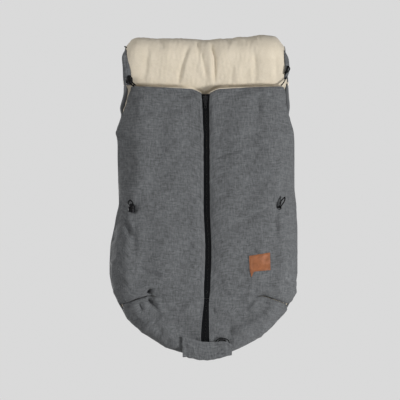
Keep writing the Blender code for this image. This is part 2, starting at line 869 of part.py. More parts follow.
def comb_outline(side, length, first, phase):
    """Outline of a row of teeth: a spine along the tape with teeth across the middle."""
    outline = [(side * SPINE_OUTER, -first), (side * SPINE_OUTER, -length)]
    teeth = []
    at = first + phase
    while at + TOOTH_HEIGHT < length:
        teeth.append(at)
        at += TOOTH_PITCH
    inner = side * SPINE_INNER
    tip = -side * TOOTH_REACH
    outline.append((inner, -length))
    for at in reversed(teeth):
        shoulder = TOOTH_HEIGHT / 6
        outline += [(inner, -at - TOOTH_HEIGHT), (tip, -at - TOOTH_HEIGHT + shoulder),
                    (tip, -at - shoulder), (inner, -at)]
    outline.append((inner, -first))
    cleaned = [point for index, point in enumerate(outline) if point != outline[index - 1]]
    return cleaned if side > 0 else cleaned[::-1]


def build_zip():
    surface = black_webbing()
    depth = SHELL + GAP
    tooth_low = depth + TAPE / 2 - TOOTH_DEPTH / 2
    tooth_high = tooth_low + TOOTH_DEPTH
    upper, upper_length = run_frame(UPPER_TOP_Z, FOOT_SEAM_Z)
    upper_at = (UPPER_TOP_Z - UPPER_SLIDER_Z) * upper_length / (UPPER_TOP_Z - FOOT_SEAM_Z)
    upper_end = upper_length - FOLD_AXIS_PROUD
    lower, lower_length = run_frame(FOOT_SEAM_Z, TOE_Z)
    lower_at = (FOOT_SEAM_Z - LOWER_SLIDER_Z) * lower_length / (FOOT_SEAM_Z - TOE_Z)
    tape_end = lower_length - 2 * GAP
    stop_low = tape_end - TACK_HEIGHT - GAP
    fold_slope = (FOLD_TOP_X - FOLD_FOOT_X) / (mouth_z(FOLD_TOP_X) - FOOT_SEAM_Z)
    foot_width = FOLD_FOOT_X - GAP
    narrowing = (TAPE_OUTER - foot_width) / fold_slope + FOLD_AXIS_PROUD
    for side, label in ((-1, "left"), (1, "right")):
        phase = GAP if side < 0 else GAP + TOOTH_PITCH / 2
        outline = tape_outline(side, upper_end, 2 * GAP, foot_width, narrowing)
        place(extrude_outline("zip_tape_" + label, outline, depth, depth + TAPE, surface), upper)
        outline = comb_outline(side, upper_end, upper_at + GAP, phase)
        place(extrude_outline("zip_teeth_" + label, outline, tooth_low, tooth_high,
                              black_plastic()), upper)
        outline = comb_outline(side, lower_at - GAP, 2 * GAP, phase)
        place(extrude_outline("foot_teeth_" + label, outline, tooth_low, tooth_high,
                              black_plastic()), lower)
    outline = foot_tape_outline(tape_end, SEAM_TAPER / 8)
    place(extrude_outline("foot_tape", outline, depth, depth + TAPE, surface), lower)
    outline = box_outline(STOP_HALF, -stop_low, -stop_low + STOP_HEIGHT)
    place(extrude_outline("zip_bottom_stop", outline, tooth_low, tooth_high, gunmetal()), lower)
    build_slider("upper_slider", upper @ Matrix.Translation((0.0, 0.0, -upper_at)))
    at_slider = lower @ Matrix.Translation((0.0, 0.0, -lower_at))
    build_slider("lower_slider", at_slider @ upside_down())
    build_puller(upper @ Matrix.Translation((0.0, 0.0, -upper_at)))
    build_lower_cord(at_slider)


def build_lower_cord(matrix):
    """Cord pull of the lower slider: round the bridge's leg and out over the flap's top edge."""
    depth = puller_axis_depth()
    leg = BRIDGE_LENGTH / 2 + LOWER_CORD_RADIUS * 2
    beside = -BRIDGE_HALF - LOWER_CORD_RADIUS * 2
    route = [(-BRIDGE_HALF - LOWER_CORD_RADIUS, 0.0), (0.0, 0.0)]
    route += [(x, up) for x, up in LOWER_CORD_ROUTE]
    route += [(LOWER_CORD_RETURN_X, -leg), (0.0, -leg), (beside, -leg * 3 / 4),
              (beside, -LOWER_CORD_RADIUS * 3)]
    points = [
        matrix @ Vector((x, depth - LOWER_CORD_PROUD * smooth_share(x / LOWER_CORD_RETURN_X - 1.0), up))
        for x, up in route
    ]
    tube("lower_cord_pull", points, LOWER_CORD_RADIUS, elastic(), 2)


def upside_down():
    """Turn about Y, which points into the cloth, so that the slider's wide end faces down."""
    return Matrix.Rotation(math.pi, 4, "Y")


def plate_outline():
    half = SLIDER_LENGTH / 2
    chamfer = SLIDER_TAIL_HALF / 4
    return [
        (-SLIDER_TAIL_HALF + chamfer, -half), (SLIDER_TAIL_HALF - chamfer, -half),
        (SLIDER_TAIL_HALF, -half + chamfer), (SLIDER_HALF, half / 4),
        (SLIDER_HALF, half - chamfer), (SLIDER_HALF - chamfer, half),
        (-SLIDER_HALF + chamfer, half), (-SLIDER_HALF, half - chamfer),
        (-SLIDER_HALF, half / 4), (-SLIDER_TAIL_HALF, -half + chamfer),
    ]


def slider_faces():
    """Depths of the slider's four plate faces below the cloth's outer face."""
    middle = SHELL + GAP + TAPE / 2
    channel = TOOTH_DEPTH / 2 + SLIDER_CLEARANCE
    return middle - channel - SLIDER_PLATE, middle - channel, middle + channel, \
        middle + channel + SLIDER_PLATE


def build_slider(name, matrix):
    """Two plates held apart by a wedge, with side flanges and a bridge for the puller."""
    surface = black_plastic() if name == "lower_slider" else gunmetal()
    front_out, front_in, back_in, back_out = slider_faces()
    body = extrude_outline(name, plate_outline(), front_out, front_in, surface)
    pieces = [extrude_outline(name + "_back_plate", plate_outline(), back_in, back_out, surface)]
    half = SLIDER_LENGTH / 2
    wedge_top = half - SLIDER_CLEARANCE
    wedge = [(0.0, GAP * 3), (SPINE_INNER, half / 2), (SPINE_INNER / 2, wedge_top),
             (-SPINE_INNER / 2, wedge_top), (-SPINE_INNER, half / 2)]
    overlap = SLIDER_PLATE / 3
    pieces.append(extrude_outline(name + "_wedge", wedge, front_in - overlap, back_in + overlap,
                                  surface))
    flange_in = SPINE_OUTER + SLIDER_CLEARANCE
    tape_low = SHELL + GAP - SLIDER_CLEARANCE
    tape_high = SHELL + GAP + TAPE + SLIDER_CLEARANCE
    for side, label in ((-1, "left"), (1, "right")):
        edges = sorted((side * flange_in, side * SLIDER_TAIL_HALF))
        for place_name, low, high in (("front", front_in - overlap, tape_low),
                                      ("back", tape_high, back_in + overlap)):
            outline = [(edges[0], -half * 3 / 4), (edges[1], -half * 3 / 4),
                       (edges[1], half / 5), (edges[0], half / 5)]
            pieces.append(extrude_outline(
                name + "_flange_" + place_name + "_" + label, outline, low, high, surface))
    bridge = bridge_piece(name + "_bridge", front_out, surface)
    pieces.append(bridge)
    for piece in pieces:
        place(piece, matrix)
        combine(body, piece, "UNION")
    return place(body, matrix)


def bridge_piece(name, front_out, surface):
    """Arch along the slider, under which the puller turns."""
    build = bmesh.new()
    half = BRIDGE_LENGTH / 2
    outer = front_out - BRIDGE_EYE - BRIDGE_BAR
    inner = front_out - BRIDGE_EYE
    root = front_out + SLIDER_PLATE / 2
    rise = [(root, -half), (outer + BRIDGE_BAR, -half), (outer, -half + BRIDGE_BAR),
            (outer, half - BRIDGE_BAR), (outer + BRIDGE_BAR, half), (root, half),
            (root, half - BRIDGE_BAR), (inner, half - BRIDGE_BAR * 2),
            (inner, -half + BRIDGE_BAR * 2), (root, -half + BRIDGE_BAR)]
    base = [build.verts.new((-BRIDGE_HALF, y, z)) for y, z in rise]
    face = build.faces.new(base)
    grown = bmesh.ops.extrude_face_region(build, geom=[face])
    for item in grown["geom"]:
        if isinstance(item, bmesh.types.BMVert):
            item.co.x = BRIDGE_HALF
    return add_mesh(name, build, surface, 30.0)


def puller_axis_depth():
    """Depth of the puller's pin centre, in the lower end of the bridge's eye."""
    return slider_faces()[0] - BRIDGE_EYE / 2


def build_puller(matrix):
    """Flat tab with a window through which the bridge passes, hung on its own crossbar."""
    surface = gunmetal()
    window_half = BRIDGE_HALF + GAP * 2
    bar_half = PULLER_THICK / 2
    window_high = BRIDGE_LENGTH / 2 - BRIDGE_BAR * 2 - bar_half - GAP * 2
    pin = -window_high
    outline = rounded_outline(-PULLER_HALF, PULLER_HALF, pin - PULLER_LENGTH, pin + bar_half,
                              PULLER_HALF / 2)
    depth = puller_axis_depth()
    tab = extrude_outline("upper_puller", outline, depth - bar_half, depth + bar_half, surface)
    window_low = -BRIDGE_LENGTH / 2 - BRIDGE_BAR
    window = extrude_outline(
        "puller_window", box_outline(window_half, window_low, pin - bar_half),
        depth - OVERRUN, depth + OVERRUN, surface)
    hole_low = pin - PULLER_LENGTH + PULLER_HOLE
    hole = extrude_outline(
        "puller_hole", rounded_outline(-PULLER_HOLE, PULLER_HOLE, hole_low,
                                       hole_low + 3 * PULLER_HOLE, PULLER_HOLE / 2, 1),
        depth - OVERRUN, depth + OVERRUN, surface)
    for cutter in (window, hole):
        place(cutter, matrix)
        combine(tab, cutter, "DIFFERENCE")
    place(tab, matrix)


# Foot flap

def flap_stations():
    """Stations of the flap from its hem at the seam, under the toe and up over the zip's end."""
    floor = FOOT_FLOOR_Z - 2 * GAP
    run = [(SEAM_Y, floor), (SEAM_Y + TOE_DEPTH / 2, floor)]
    toe = cover_depth(TOE_Z) + SEAM_Y
    run += [(toe + FLAP_OFFSET / 2, floor), (toe + FLAP_OFFSET, floor + FLAP_OFFSET)]
    for share in (0.5, 1.0):
        z = TOE_Z + (FLAP_TOP_Z - TOE_Z) * share
        run.append((cover_depth(z) + SEAM_Y + FLAP_OFFSET, z))
    rows = []
    for index, (depth, z) in enumerate(run):
        before = run[max(index - 1, 0)]
        after = run[min(index + 1, len(run) - 1)]
        along = Vector((0.0, -(after[0] - before[0]), after[1] - before[1])).normalized()
        out = along.cross(Vector((-1.0, 0.0, 0.0)))
        row = []
        for column in range(FLAP_COLUMNS + 1):
            x = FLAP_LEFT + (FLAP_RIGHT - FLAP_LEFT) * column / FLAP_COLUMNS
            row.append((Vector((x, -depth, z)), out))
        rows.append(row)
    return rows


def build_flap():
    rows = flap_stations()
    near = [[point for point, out in row] for row in rows]
    far = [[point + out * FLAP_THICK for point, out in row] for row in rows]
    grid_solid("foot_flap", near, far, shell_cloth())
    for name, offset, in_x, out_x in (("flap_loop_patch", GAP, FASTENER_IN, FASTENER_OUT),
                                      ("flap_hook_patch", GAP * 2 + FASTENER_THICK,
                                       FASTENER_IN, FASTENER_OUT)):
        near_rows, far_rows = [], []
        for z in (FASTENER_TOP_Z, FASTENER_LOW_Z):
            points = [cover_point(x, z) for x in (-out_x, -in_x)]
            near_rows.append([p - n * offset for p, n in points])
            far_rows.append([p - n * (offset + FASTENER_THICK) for p, n in points])
        grid_solid(name, near_rows, far_rows, elastic())


# Eyelets, elastics and cord locks

def facing(point, inward):
    """Frame at a point of the cover: local Z leads out of the cloth."""
    out = -inward
    across = Vector((0.0, 0.0, 1.0)).cross(out).normalized()
    upward = out.cross(across)
    return Matrix.Translation(point) @ Matrix((across, upward, out)).transposed().to_4x4()


def build_eyelet(name, matrix, cloth, behind):
    """Flanged ring pressed through a hole in the shell."""
    profile = [
        (EYELET_BORE, -behind), (EYELET_BARREL, -behind), (EYELET_BARREL, GAP),
        (EYELET_RADIUS, GAP), (EYELET_RADIUS, GAP + EYELET_FLANGE / 2),
        (EYELET_RADIUS - EYELET_FLANGE / 2, GAP + EYELET_FLANGE),
        (EYELET_BORE, GAP + EYELET_FLANGE),
    ]
    ring = turned(name, profile, gunmetal(), 16)
    place(ring, matrix)
    if not cloth:
        return
    hole = turned(name + "_hole", [
        (0.0, -OVERRUN / 2), (EYELET_BARREL + GAP, -OVERRUN / 2),
        (EYELET_BARREL + GAP, OVERRUN), (0.0, OVERRUN)], gunmetal(), 16)
    place(hole, matrix)
    combine(cloth, hole, "DIFFERENCE")


def build_lock(label, origin):
    """Barrel cord lock: slotted body, sprung plunger and its spring, standing upright."""
    bore_radius = PLUNGER_RADIUS + GAP
    body = turned("lock_body_" + label, [
        (0.0, 0.0), (LOCK_RADIUS - LOCK_CHAMFER, 0.0), (LOCK_RADIUS, LOCK_CHAMFER),
        (LOCK_RADIUS, LOCK_HEIGHT - LOCK_CHAMFER), (LOCK_RADIUS - LOCK_CHAMFER, LOCK_HEIGHT),
        (bore_radius, LOCK_HEIGHT), (bore_radius, LOCK_FLOOR), (0.0, LOCK_FLOOR),
    ], black_plastic())
    top = LOCK_HEIGHT + PLUNGER_PROUD
    plunger = turned("lock_plunger_" + label, [
        (0.0, PLUNGER_BOTTOM), (PLUNGER_RADIUS, PLUNGER_BOTTOM),
        (PLUNGER_RADIUS, top - PLUNGER_DOME), (PLUNGER_RADIUS - PLUNGER_DOME, top),
        (0.0, top)], black_plastic(), 16)
    low = BORE_HEIGHT - BORE_HALF_HEIGHT
    high = BORE_HEIGHT + BORE_HALF_HEIGHT
    body_slot = extrude_outline("body_slot_" + label, box_outline(BORE_HALF_WIDTH, low, high),
                                -LOCK_RADIUS - OVERRUN, LOCK_RADIUS + OVERRUN, black_plastic())
    plunger_slot = extrude_outline(
        "plunger_slot_" + label, box_outline(BORE_HALF_WIDTH, low, high + PLUNGER_TRAVEL),
        -LOCK_RADIUS - OVERRUN, LOCK_RADIUS + OVERRUN, black_plastic())
    combine(body, body_slot, "DIFFERENCE")
    combine(plunger, plunger_slot, "DIFFERENCE")
    low = LOCK_FLOOR + SPRING_WIRE + GAP
    rise = PLUNGER_BOTTOM - SPRING_WIRE - GAP - low
    coil = []
    for step in range(SPRING_TURNS * HELIX_STEPS + 1):
        angle = 2 * math.pi * step / HELIX_STEPS
        height = low + rise * step / (SPRING_TURNS * HELIX_STEPS)
        coil.append(Vector((SPRING_RADIUS * math.cos(angle), SPRING_RADIUS * math.sin(angle),
                            height)))
    spring = plain_tube("lock_spring_" + label, coil, SPRING_WIRE, gunmetal())
    for piece in (body, plunger, body_slot, plunger_slot, spring):
        piece.location = origin


def loop_points(start, out, reach, loop):
    """Two strands out of an eyelet and the loop that joins them: its lean, rise and spread."""
    lean, rise, spread = loop
    side = Vector((STRAND, 0.0, 0.0))
    up = Vector((lean, 0.0, rise))
    bend = start + out * (reach + ELASTIC_RADIUS * 3)
    neck, shoulder = up * LOOP_NECK, up * LOOP_SHOULDER
    points = [start - side, start - side + out * reach / 2, start - side + out * reach]
    points += [bend - side * spread / 2 + neck, bend - side * spread + shoulder, bend + up]
    points += [bend + side * spread + shoulder, bend + side * spread / 2 + neck]
    points += [start + side + out * reach, start + side + out * reach / 2, start + side]
    return points


def build_locked_cord(name, lock, start, outward, stand, loop):
    """Doubled elastic out of an eyelet, through a lock that may slide along it."""
    to_lock = stand + GAP + EYELET_FLANGE + LOCK_CLEARANCE
    lock_at = start + outward * (to_lock + LOCK_RADIUS)
    lock_at.z -= BORE_HEIGHT
    build_lock(lock, lock_at)
    reach = to_lock + 2 * LOCK_RADIUS + LOCK_SLIDE + 2 * GAP
    tube(name, loop_points(start, outward, reach, loop), ELASTIC_RADIUS, elastic(), 2)


def build_waist_cords(side_shells):
    """Waist eyelets with the locked elastic on the left and the bare one on the right."""
    outward = Vector((0.0, -1.0, 0.0))
    stand = Matrix.Translation(Vector((0.0, 0.0, EYELET_STAND)))
    point = mirrored(puffed_side_point(WAIST_HALF - EYELET_IN_LEFT, WAIST_EYELET_LEFT_Z)[0], -1)
    build_eyelet("waist_eyelet_left", facing(point, -outward) @ stand, side_shells["left"], SHELL)
    build_locked_cord("waist_elastic_left", "waist", point, outward, EYELET_STAND, WAIST_LEFT_LOOP)
    point = puffed_side_point(WAIST_HALF - EYELET_IN_RIGHT, WAIST_EYELET_RIGHT_Z)[0]
    build_eyelet("waist_eyelet_right", facing(point, -outward) @ stand, side_shells["right"], SHELL)
    reach = EYELET_STAND + GAP + EYELET_FLANGE + ELASTIC_RADIUS * 2
    tube("waist_elastic_right", loop_points(point, outward, reach, WAIST_RIGHT_LOOP),
         ELASTIC_RADIUS, elastic(), 2)


def build_hood_cords():
    """Locked elastics of the hood: on the left casing, and behind the right edge."""
    flange_reach = (-EYELET_RADIUS, 0.0, EYELET_RADIUS)
    x = HOOD_HALF - HOOD_LOCK_IN_LEFT
    proud = max(casing_depth(x + step, HOOD_LOCK_Z) for step in flange_reach)
    start = Vector((-x, -proud - GAP, HOOD_LOCK_Z))
    forward = Vector((0.0, -1.0, 0.0))
    build_eyelet("hood_eyelet_left", facing(start, -forward), None, GAP)
    build_locked_cord("hood_elastic_left", "hood_left", start, forward, 0.0, HOOD_LEFT_LOOP)
    x = HOOD_HALF - HOOD_LOCK_IN_RIGHT
    rear = min(back_faces(x + step, HOOD_LOCK_Z)[0] for step in flange_reach)
    start = Vector((x, -rear + GAP, HOOD_LOCK_Z))
    build_eyelet("hood_eyelet_right", facing(start, forward), None, GAP)
    build_locked_cord("hood_elastic_right", "hood_right", start, -forward, 0.0, HOOD_RIGHT_LOOP)


def casing_span(z):
    """Middle and half width of the casing at a height."""
    share = (z + GAP) / (CASING_LOW_Z + GAP)
    half = CASING_TOP_HALF + (CASING_LOW_HALF - CASING_TOP_HALF) * share
    return HOOD_HALF - half + share * (back_half(z) - HOOD_HALF), half


def casing_depth(x, z):
    """Depth of the casing's outer face."""
    middle, half = casing_span(z)
    rise = math.sqrt(max(1.0 - ((x - middle) / half) ** 2, 0.0))
    return back_faces(x, z)[1] + CASING_CLEARANCE + SHELL + CASING_THICK * rise


def build_casing(side, label):
    """Rolled cloth casing down the hood's side edge, widest at its lower end."""
    near, far = [], []
    for z in hood_heights()[:-1] + [CASING_LOW_Z]:
        middle, half = casing_span(z)
        places = [middle - half * math.cos(math.pi * column / CASING_COLUMNS)
                  for column in range(CASING_COLUMNS + 1)]
        near.append([
            Vector((side * x, -back_faces(x, z)[1] - CASING_CLEARANCE, z)) for x in places])
        far.append([Vector((side * x, -casing_depth(x, z), z)) for x in places])
    grid_solid("hood_casing_" + label, near, far, shell_cloth())


# Leather patch

def build_patch():
    near, far = [], []
    for down in (0.5, 0.17, -0.17, -0.5):
        near_row, far_row = [], []
        for across in (-0.5, -0.17, 0.17, 0.5):
            dx = across * PATCH_WIDTH
            dz = down * PATCH_HEIGHT
            x = PATCH_X + dx * math.cos(PATCH_TURN) - dz * math.sin(PATCH_TURN)
            z = PATCH_Z + dx * math.sin(PATCH_TURN) + dz * math.cos(PATCH_TURN)
            point, inward = puffed_side_point(x, z)
            near_row.append(point - inward * 2 * GAP)
            far_row.append(point - inward * (2 * GAP + PATCH_THICK))
        near.append(near_row)
        far.append(far_row)
    grid_solid("leather_patch", near, far, leather())


def clear_scene():
    for obj in list(bpy.data.objects):
        bpy.data.objects.remove(obj)


def main():
    clear_scene()
    build_back()
    side_shells = {"left": build_front(-1, "left"), "right": build_front(1, "right")}
    build_foot()
    build_zip()
    build_flap()
    build_waist_cords(side_shells)
    for side, label in ((-1, "left"), (1, "right")):
        build_casing(side, label)
    build_hood_cords()
    build_patch()


main()
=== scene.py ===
"""Stroller footmuff: the cloth, fleece, zip and cord fittings as they look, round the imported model.

Metres, +Z up. +X is the viewer's right and -Y faces the viewer. The origin is the middle of the
rail that the folded hood hangs over.
"""

import math

import bmesh
import bpy
import numpy as np
from bpy.props import FloatProperty, FloatVectorProperty, PointerProperty
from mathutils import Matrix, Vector
from mathutils.bvhtree import BVHTree


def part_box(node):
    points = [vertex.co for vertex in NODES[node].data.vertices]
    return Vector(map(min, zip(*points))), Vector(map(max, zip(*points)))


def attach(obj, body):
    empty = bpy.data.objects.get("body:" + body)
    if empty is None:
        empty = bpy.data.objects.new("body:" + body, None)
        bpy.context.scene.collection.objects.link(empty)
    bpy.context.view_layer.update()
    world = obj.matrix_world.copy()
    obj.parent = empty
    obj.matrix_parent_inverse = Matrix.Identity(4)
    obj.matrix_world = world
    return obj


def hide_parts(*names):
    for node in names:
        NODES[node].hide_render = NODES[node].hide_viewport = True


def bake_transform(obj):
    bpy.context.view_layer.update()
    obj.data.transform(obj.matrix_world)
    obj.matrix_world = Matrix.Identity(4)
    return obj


bl_info = {
    "name": "Stroller Footmuff",
    "version": (1, 0, 0),
    "blender": (4, 5, 0),
    "location": "3D View > Sidebar > Footmuff",
    "description": "Builds a padded stroller footmuff that hangs by its folded hood",
    "category": "Add Mesh",
}

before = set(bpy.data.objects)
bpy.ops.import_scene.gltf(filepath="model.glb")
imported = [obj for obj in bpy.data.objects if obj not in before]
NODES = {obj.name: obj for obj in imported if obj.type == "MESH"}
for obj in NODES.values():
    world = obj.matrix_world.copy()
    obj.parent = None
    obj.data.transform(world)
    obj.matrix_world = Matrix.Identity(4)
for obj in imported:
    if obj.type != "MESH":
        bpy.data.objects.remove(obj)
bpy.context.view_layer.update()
SIDES = ((-1, "left"), (1, "right"))

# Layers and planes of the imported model
GAP = 0.0003
SHELL = 0.0012
LINING = 0.002
BACK_WADDING = 0.01
HOOD_WADDING = 0.016
FRONT_WADDING = 0.009
SEAM_WADDING = 0.001
SEAM_TAPER = 0.03
SHELL_FACE = 0.0305
LAYERS = 2 * GAP + SHELL + LINING
SEAM_Y = SHELL_FACE + LAYERS + BACK_WADDING + GAP
AHEAD = Vector((0.0, -1.0, 0.0))
BEHIND = Vector((0.0, 1.0, 0.0))
TINY = 1e-9

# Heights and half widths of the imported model
BOTTOM_Z = -0.758
HIP_Z = -0.532
FOOT_HEIGHT = HIP_Z - BOTTOM_Z
FLOOR_ANGLE = math.radians(82.6)
FOOT_FLOOR_Z = HIP_Z - FOOT_HEIGHT * math.sin(FLOOR_ANGLE)
FOOT_SEAM_Z = -0.6045
MOUTH_Z = -0.08
MOUTH_DIP = 0.017
MOUTH_DIP_HALF = 0.03
MOUTH_DIP_SOFT = 0.13
HOOD_RISE_Z = -0.0735
HIP_HALF = 0.2375
WAIST_HALF = 0.2245
CHEST_HALF = 0.2235
SHOULDER_HALF = 0.211
HOOD_HALF = 0.2
COLLAR_HALF = 0.187
WAIST_Z = -0.38
CHEST_Z = -0.19
SHOULDER_Z = -0.135
FOOT_OUTLINE_POWER = 0.58
MOUTH_DEPTH = 0.024
ANKLE_DEPTH = 0.074
TOE_DEPTH = 0.0435
TOE_Z = -0.744
SIDE_ROUND_SHARE = 0.2
TOE_ROUND_SHARE = 0.07
SLOT_HALF = 0.007
TAIL_DROP = 0.14
TAIL_CORNER = 0.05

# Fold axis of the right lapel; the left one is its mirror image
FOLD_POINT = Vector((0.0105, -0.1195, -0.60341))
FOLD_AXIS = Vector((0.24699, 0.09196, 0.96464))

# Hung outline: height, left edge and right edge of the cloth
OUTLINE = (
    (0.0, -0.204, 0.203), (-0.05, -0.207, 0.21), (-0.0752, -0.206, 0.206), (-0.1311, -0.2115, 0.209),
    (-0.1463, -0.2116, 0.2105), (-0.1666, -0.2192, 0.2177), (-0.186, -0.2262, 0.2238),
    (-0.2123, -0.2217, 0.2253), (-0.258, -0.2217, 0.2253), (-0.3343, -0.2192, 0.2253),
    (-0.3724, -0.2179, 0.2304), (-0.3952, -0.2243, 0.2304), (-0.4257, -0.2294, 0.2329),
    (-0.4714, -0.2395, 0.2329), (-0.5171, -0.2421, 0.2329), (-0.5476, -0.2421, 0.2329),
    (-0.5781, -0.237, 0.2278), (-0.5933, -0.2319, 0.2253), (-0.6086, -0.2243, 0.2202),
    (-0.6238, -0.2192, 0.2126), (-0.6391, -0.209, 0.2024), (-0.6543, -0.2014, 0.1923),
    (-0.6695, -0.1887, 0.1796), (-0.6848, -0.1709, 0.1669), (-0.7, -0.1532, 0.1466),
    (-0.7153, -0.1303, 0.1262), (-0.7305, -0.1024, 0.0983), (-0.7457, -0.064, 0.064),
    (-0.751, -0.048, 0.048), (-0.7561, -0.025, 0.025),
)
COLLAR = (
    (-0.074, -0.188, 0.1985), (-0.0879, -0.1925, 0.204), (-0.1031, -0.1984, 0.205),
    (-0.1158, -0.2004, 0.2062), (-0.1311, -0.2075, 0.2085), (-0.1463, -0.2116, 0.2105),
)
BACK_EDGE = (
    (0.0, -0.204, 0.203), (-0.05, -0.2075, 0.209), (-0.0701, -0.2056, 0.2098), (-0.093, -0.2067, 0.211),
    (-0.1184, -0.2141, 0.2136), (-0.13, -0.2168, 0.2136), (-0.137, -0.213, 0.211),
)
ZIP_SWAY = (
    (-0.12, 0.0006), (-0.2, 0.0028), (-0.395, 0.0034), (-0.43, 0.0054), (-0.465, 0.0072), (-0.51, 0.007),
    (-0.54, 0.0058), (-0.57, 0.0044), (-0.609, 0.003), (-0.64, 0.001), (-0.7, -0.001), (-0.72, 0.0),
)
ZIP_OPENING = (
    (-0.09, 0.0118), (-0.108, 0.0092), (-0.2, 0.0082), (-0.59, 0.0086), (-0.604, 0.008), (-0.61, 0.007),
    (-0.64, 0.009), (-0.69, 0.0116), (-0.73, 0.0118),
)

# Camera: distance from the seam plane, middle of its view and width that it sees there
CAMERA_AWAY = 3.2
CAMERA_X = -0.0135
CAMERA_Z = -0.3597
VIEW_WIDTH = 1.016
SENSOR = 36.0


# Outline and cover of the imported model, on arrays

TABLE_ROUND = 0.0075


def smooth(share):
    share = np.clip(share, 0.0, 1.0)
    return share * share * (3.0 - 2.0 * share)


def between(z, high, low, value_high, value_low):
    return value_high + (value_low - value_high) * smooth((high - z) / (high - low))


def foot_half(z):
    drop = np.clip((HIP_Z - z) / FOOT_HEIGHT, 0.0, 1.0)
    return HIP_HALF * (1.0 - drop * drop) ** FOOT_OUTLINE_POWER


def body_half(z):
    """Half width of the outline below the shoulder."""
    hip = between(z, WAIST_Z, HIP_Z, WAIST_HALF, HIP_HALF)
    waist = between(z, CHEST_Z, WAIST_Z, CHEST_HALF, WAIST_HALF)
    chest = between(z, SHOULDER_Z, CHEST_Z, SHOULDER_HALF, CHEST_HALF)
    upper = np.where(z < CHEST_Z, waist, chest)
    return np.where(z < HIP_Z, foot_half(z), np.where(z < WAIST_Z, hip, upper))


def back_half(z):
    return np.where(
        z < SHOULDER_Z, body_half(z), between(z, 0.0, SHOULDER_Z, HOOD_HALF, SHOULDER_HALF))


def front_half(z):
    """Half width of the front cover; its free upper corners are narrower than the back."""
    rise = np.clip((z - SHOULDER_Z) / (HOOD_RISE_Z - SHOULDER_Z), 0.0, 1.0)
    return np.where(
        z < SHOULDER_Z, body_half(z), SHOULDER_HALF - (SHOULDER_HALF - COLLAR_HALF) * rise ** 1.5)


def mouth_z(x):
    """Height of the front's top edge, with the soft V over the zip."""
    run = (1.0 - np.abs(x) / MOUTH_DIP_HALF) / MOUTH_DIP_SOFT
    dip = MOUTH_DIP * MOUTH_DIP_SOFT * np.log1p(np.exp(np.clip(run, -30.0, 30.0)))
    rise = (HOOD_RISE_Z - MOUTH_Z) * smooth(np.abs(x) / COLLAR_HALF)
    return MOUTH_Z - dip + rise


def front_depth(z):
    share = (MOUTH_Z - z) / (MOUTH_Z - FOOT_SEAM_Z)
    return MOUTH_DEPTH + (ANKLE_DEPTH - MOUTH_DEPTH) * share


def edge_share(x, z):
    """0 on the middle, 1 on the outline, and the share over which the cover rounds off."""
    upper = np.minimum(np.abs(x) / front_half(z), 1.0)
    across = (np.abs(x) / HIP_HALF) ** (1.0 / FOOT_OUTLINE_POWER)
    along = (np.clip(HIP_Z - z, 0.0, None) / FOOT_HEIGHT) ** 2
    whole = np.maximum(across + along, TINY)
    lower = np.minimum(whole ** FOOT_OUTLINE_POWER, 1.0)
    toe = (along / whole) ** 2
    foot_round = SIDE_ROUND_SHARE + (TOE_ROUND_SHARE - SIDE_ROUND_SHARE) * toe
    in_foot = z < HIP_Z
    return np.where(in_foot, lower, upper), np.where(in_foot, foot_round, SIDE_ROUND_SHARE)


def taper(distance):
    return np.sqrt(smooth(distance / SEAM_TAPER))


def wadding(full, to_edge):
    """Thickness of a wadding that thins out towards its sewn edge."""
    return SEAM_WADDING + (full - SEAM_WADDING) * taper(to_edge)


def table_value(table, column, z):
    """Read a table of heights, given from the top down, with its corners rounded off."""
    heights = np.array([row[0] for row in table])[::-1]
    values = np.array([row[column] for row in table])[::-1]
    steps = (-TABLE_ROUND, -TABLE_ROUND / 2, 0.0, TABLE_ROUND / 2, TABLE_ROUND)
    return sum(np.interp(z + step, heights, values) for step in steps) / len(steps)


def zip_sway(z):
    return table_value(ZIP_SWAY, 1, z)


def opening_half(z):
    """Half width of the opening that leaves the zip free."""
    return table_value(ZIP_OPENING, 1, z)


def as_photographed(points):
    """Places of points as the camera sees them on the plane of the side seam."""
    nearer = 1.0 + (points[:, :, 1] + SEAM_Y) / CAMERA_AWAY
    x = CAMERA_X + (points[:, :, 0] - CAMERA_X) / nearer
    return x, CAMERA_Z + (points[:, :, 2] - CAMERA_Z) / nearer


def on_object(x, z, depth):
    """Place of a spot read off the photograph, for a surface that far ahead of the side seam."""
    nearer = 1.0 - depth / CAMERA_AWAY
    return CAMERA_X + (x - CAMERA_X) * nearer, CAMERA_Z + (z - CAMERA_Z) * nearer


def hung_x(x, z, half, table=OUTLINE):
    """Move a place on the even outline to the hung one, whose sides differ a little."""
    sway = zip_sway(z) * (1.0 - smooth(np.abs(x) / half * 1.2 - 0.2))
    left, right = -table_value(table, 1, z), table_value(table, 2, z)
    scale = np.where(x < 0.0, left, right) / half
    share = smooth(np.abs(x) / half * 1.1 - 0.1)
    return x * (1.0 + (scale - 1.0) * share) + sway


# Relief of the cloth

CREASE_END_RATE = 3.0
CREASE_END_SHARE = 0.12
CREASE_LEAN_REACH = 3.0
CRISP_SHARE = 0.12


def soft_waves(x, z, size, seed, count=14):
    """Smooth random swells of about one unit, with the given size from crest to crest."""
    chance = np.random.default_rng(seed)
    total = np.zeros_like(x)
    for _ in range(count):
        angle = chance.uniform(0.0, math.pi)
        wave = size * chance.uniform(0.7, 1.6)
        phase = chance.uniform(0.0, 2.0 * math.pi)
        total += np.sin((x * math.cos(angle) + z * math.sin(angle)) * 2.0 * math.pi / wave + phase)
    return total / math.sqrt(count)


def bell(away, reach, power=2):
    """1 at no distance, with a soft fall over the reach."""
    return np.exp(-(away / reach) ** power)


def unit(vectors):
    return vectors / np.maximum(np.linalg.norm(vectors, axis=-1, keepdims=True), TINY)


def from_ends(count):
    """How many places each one of a row is away from the nearer end."""
    return np.minimum(np.arange(count), np.arange(count)[::-1])


def full_turn(sides):
    return [2.0 * math.pi * side / sides for side in range(sides)]


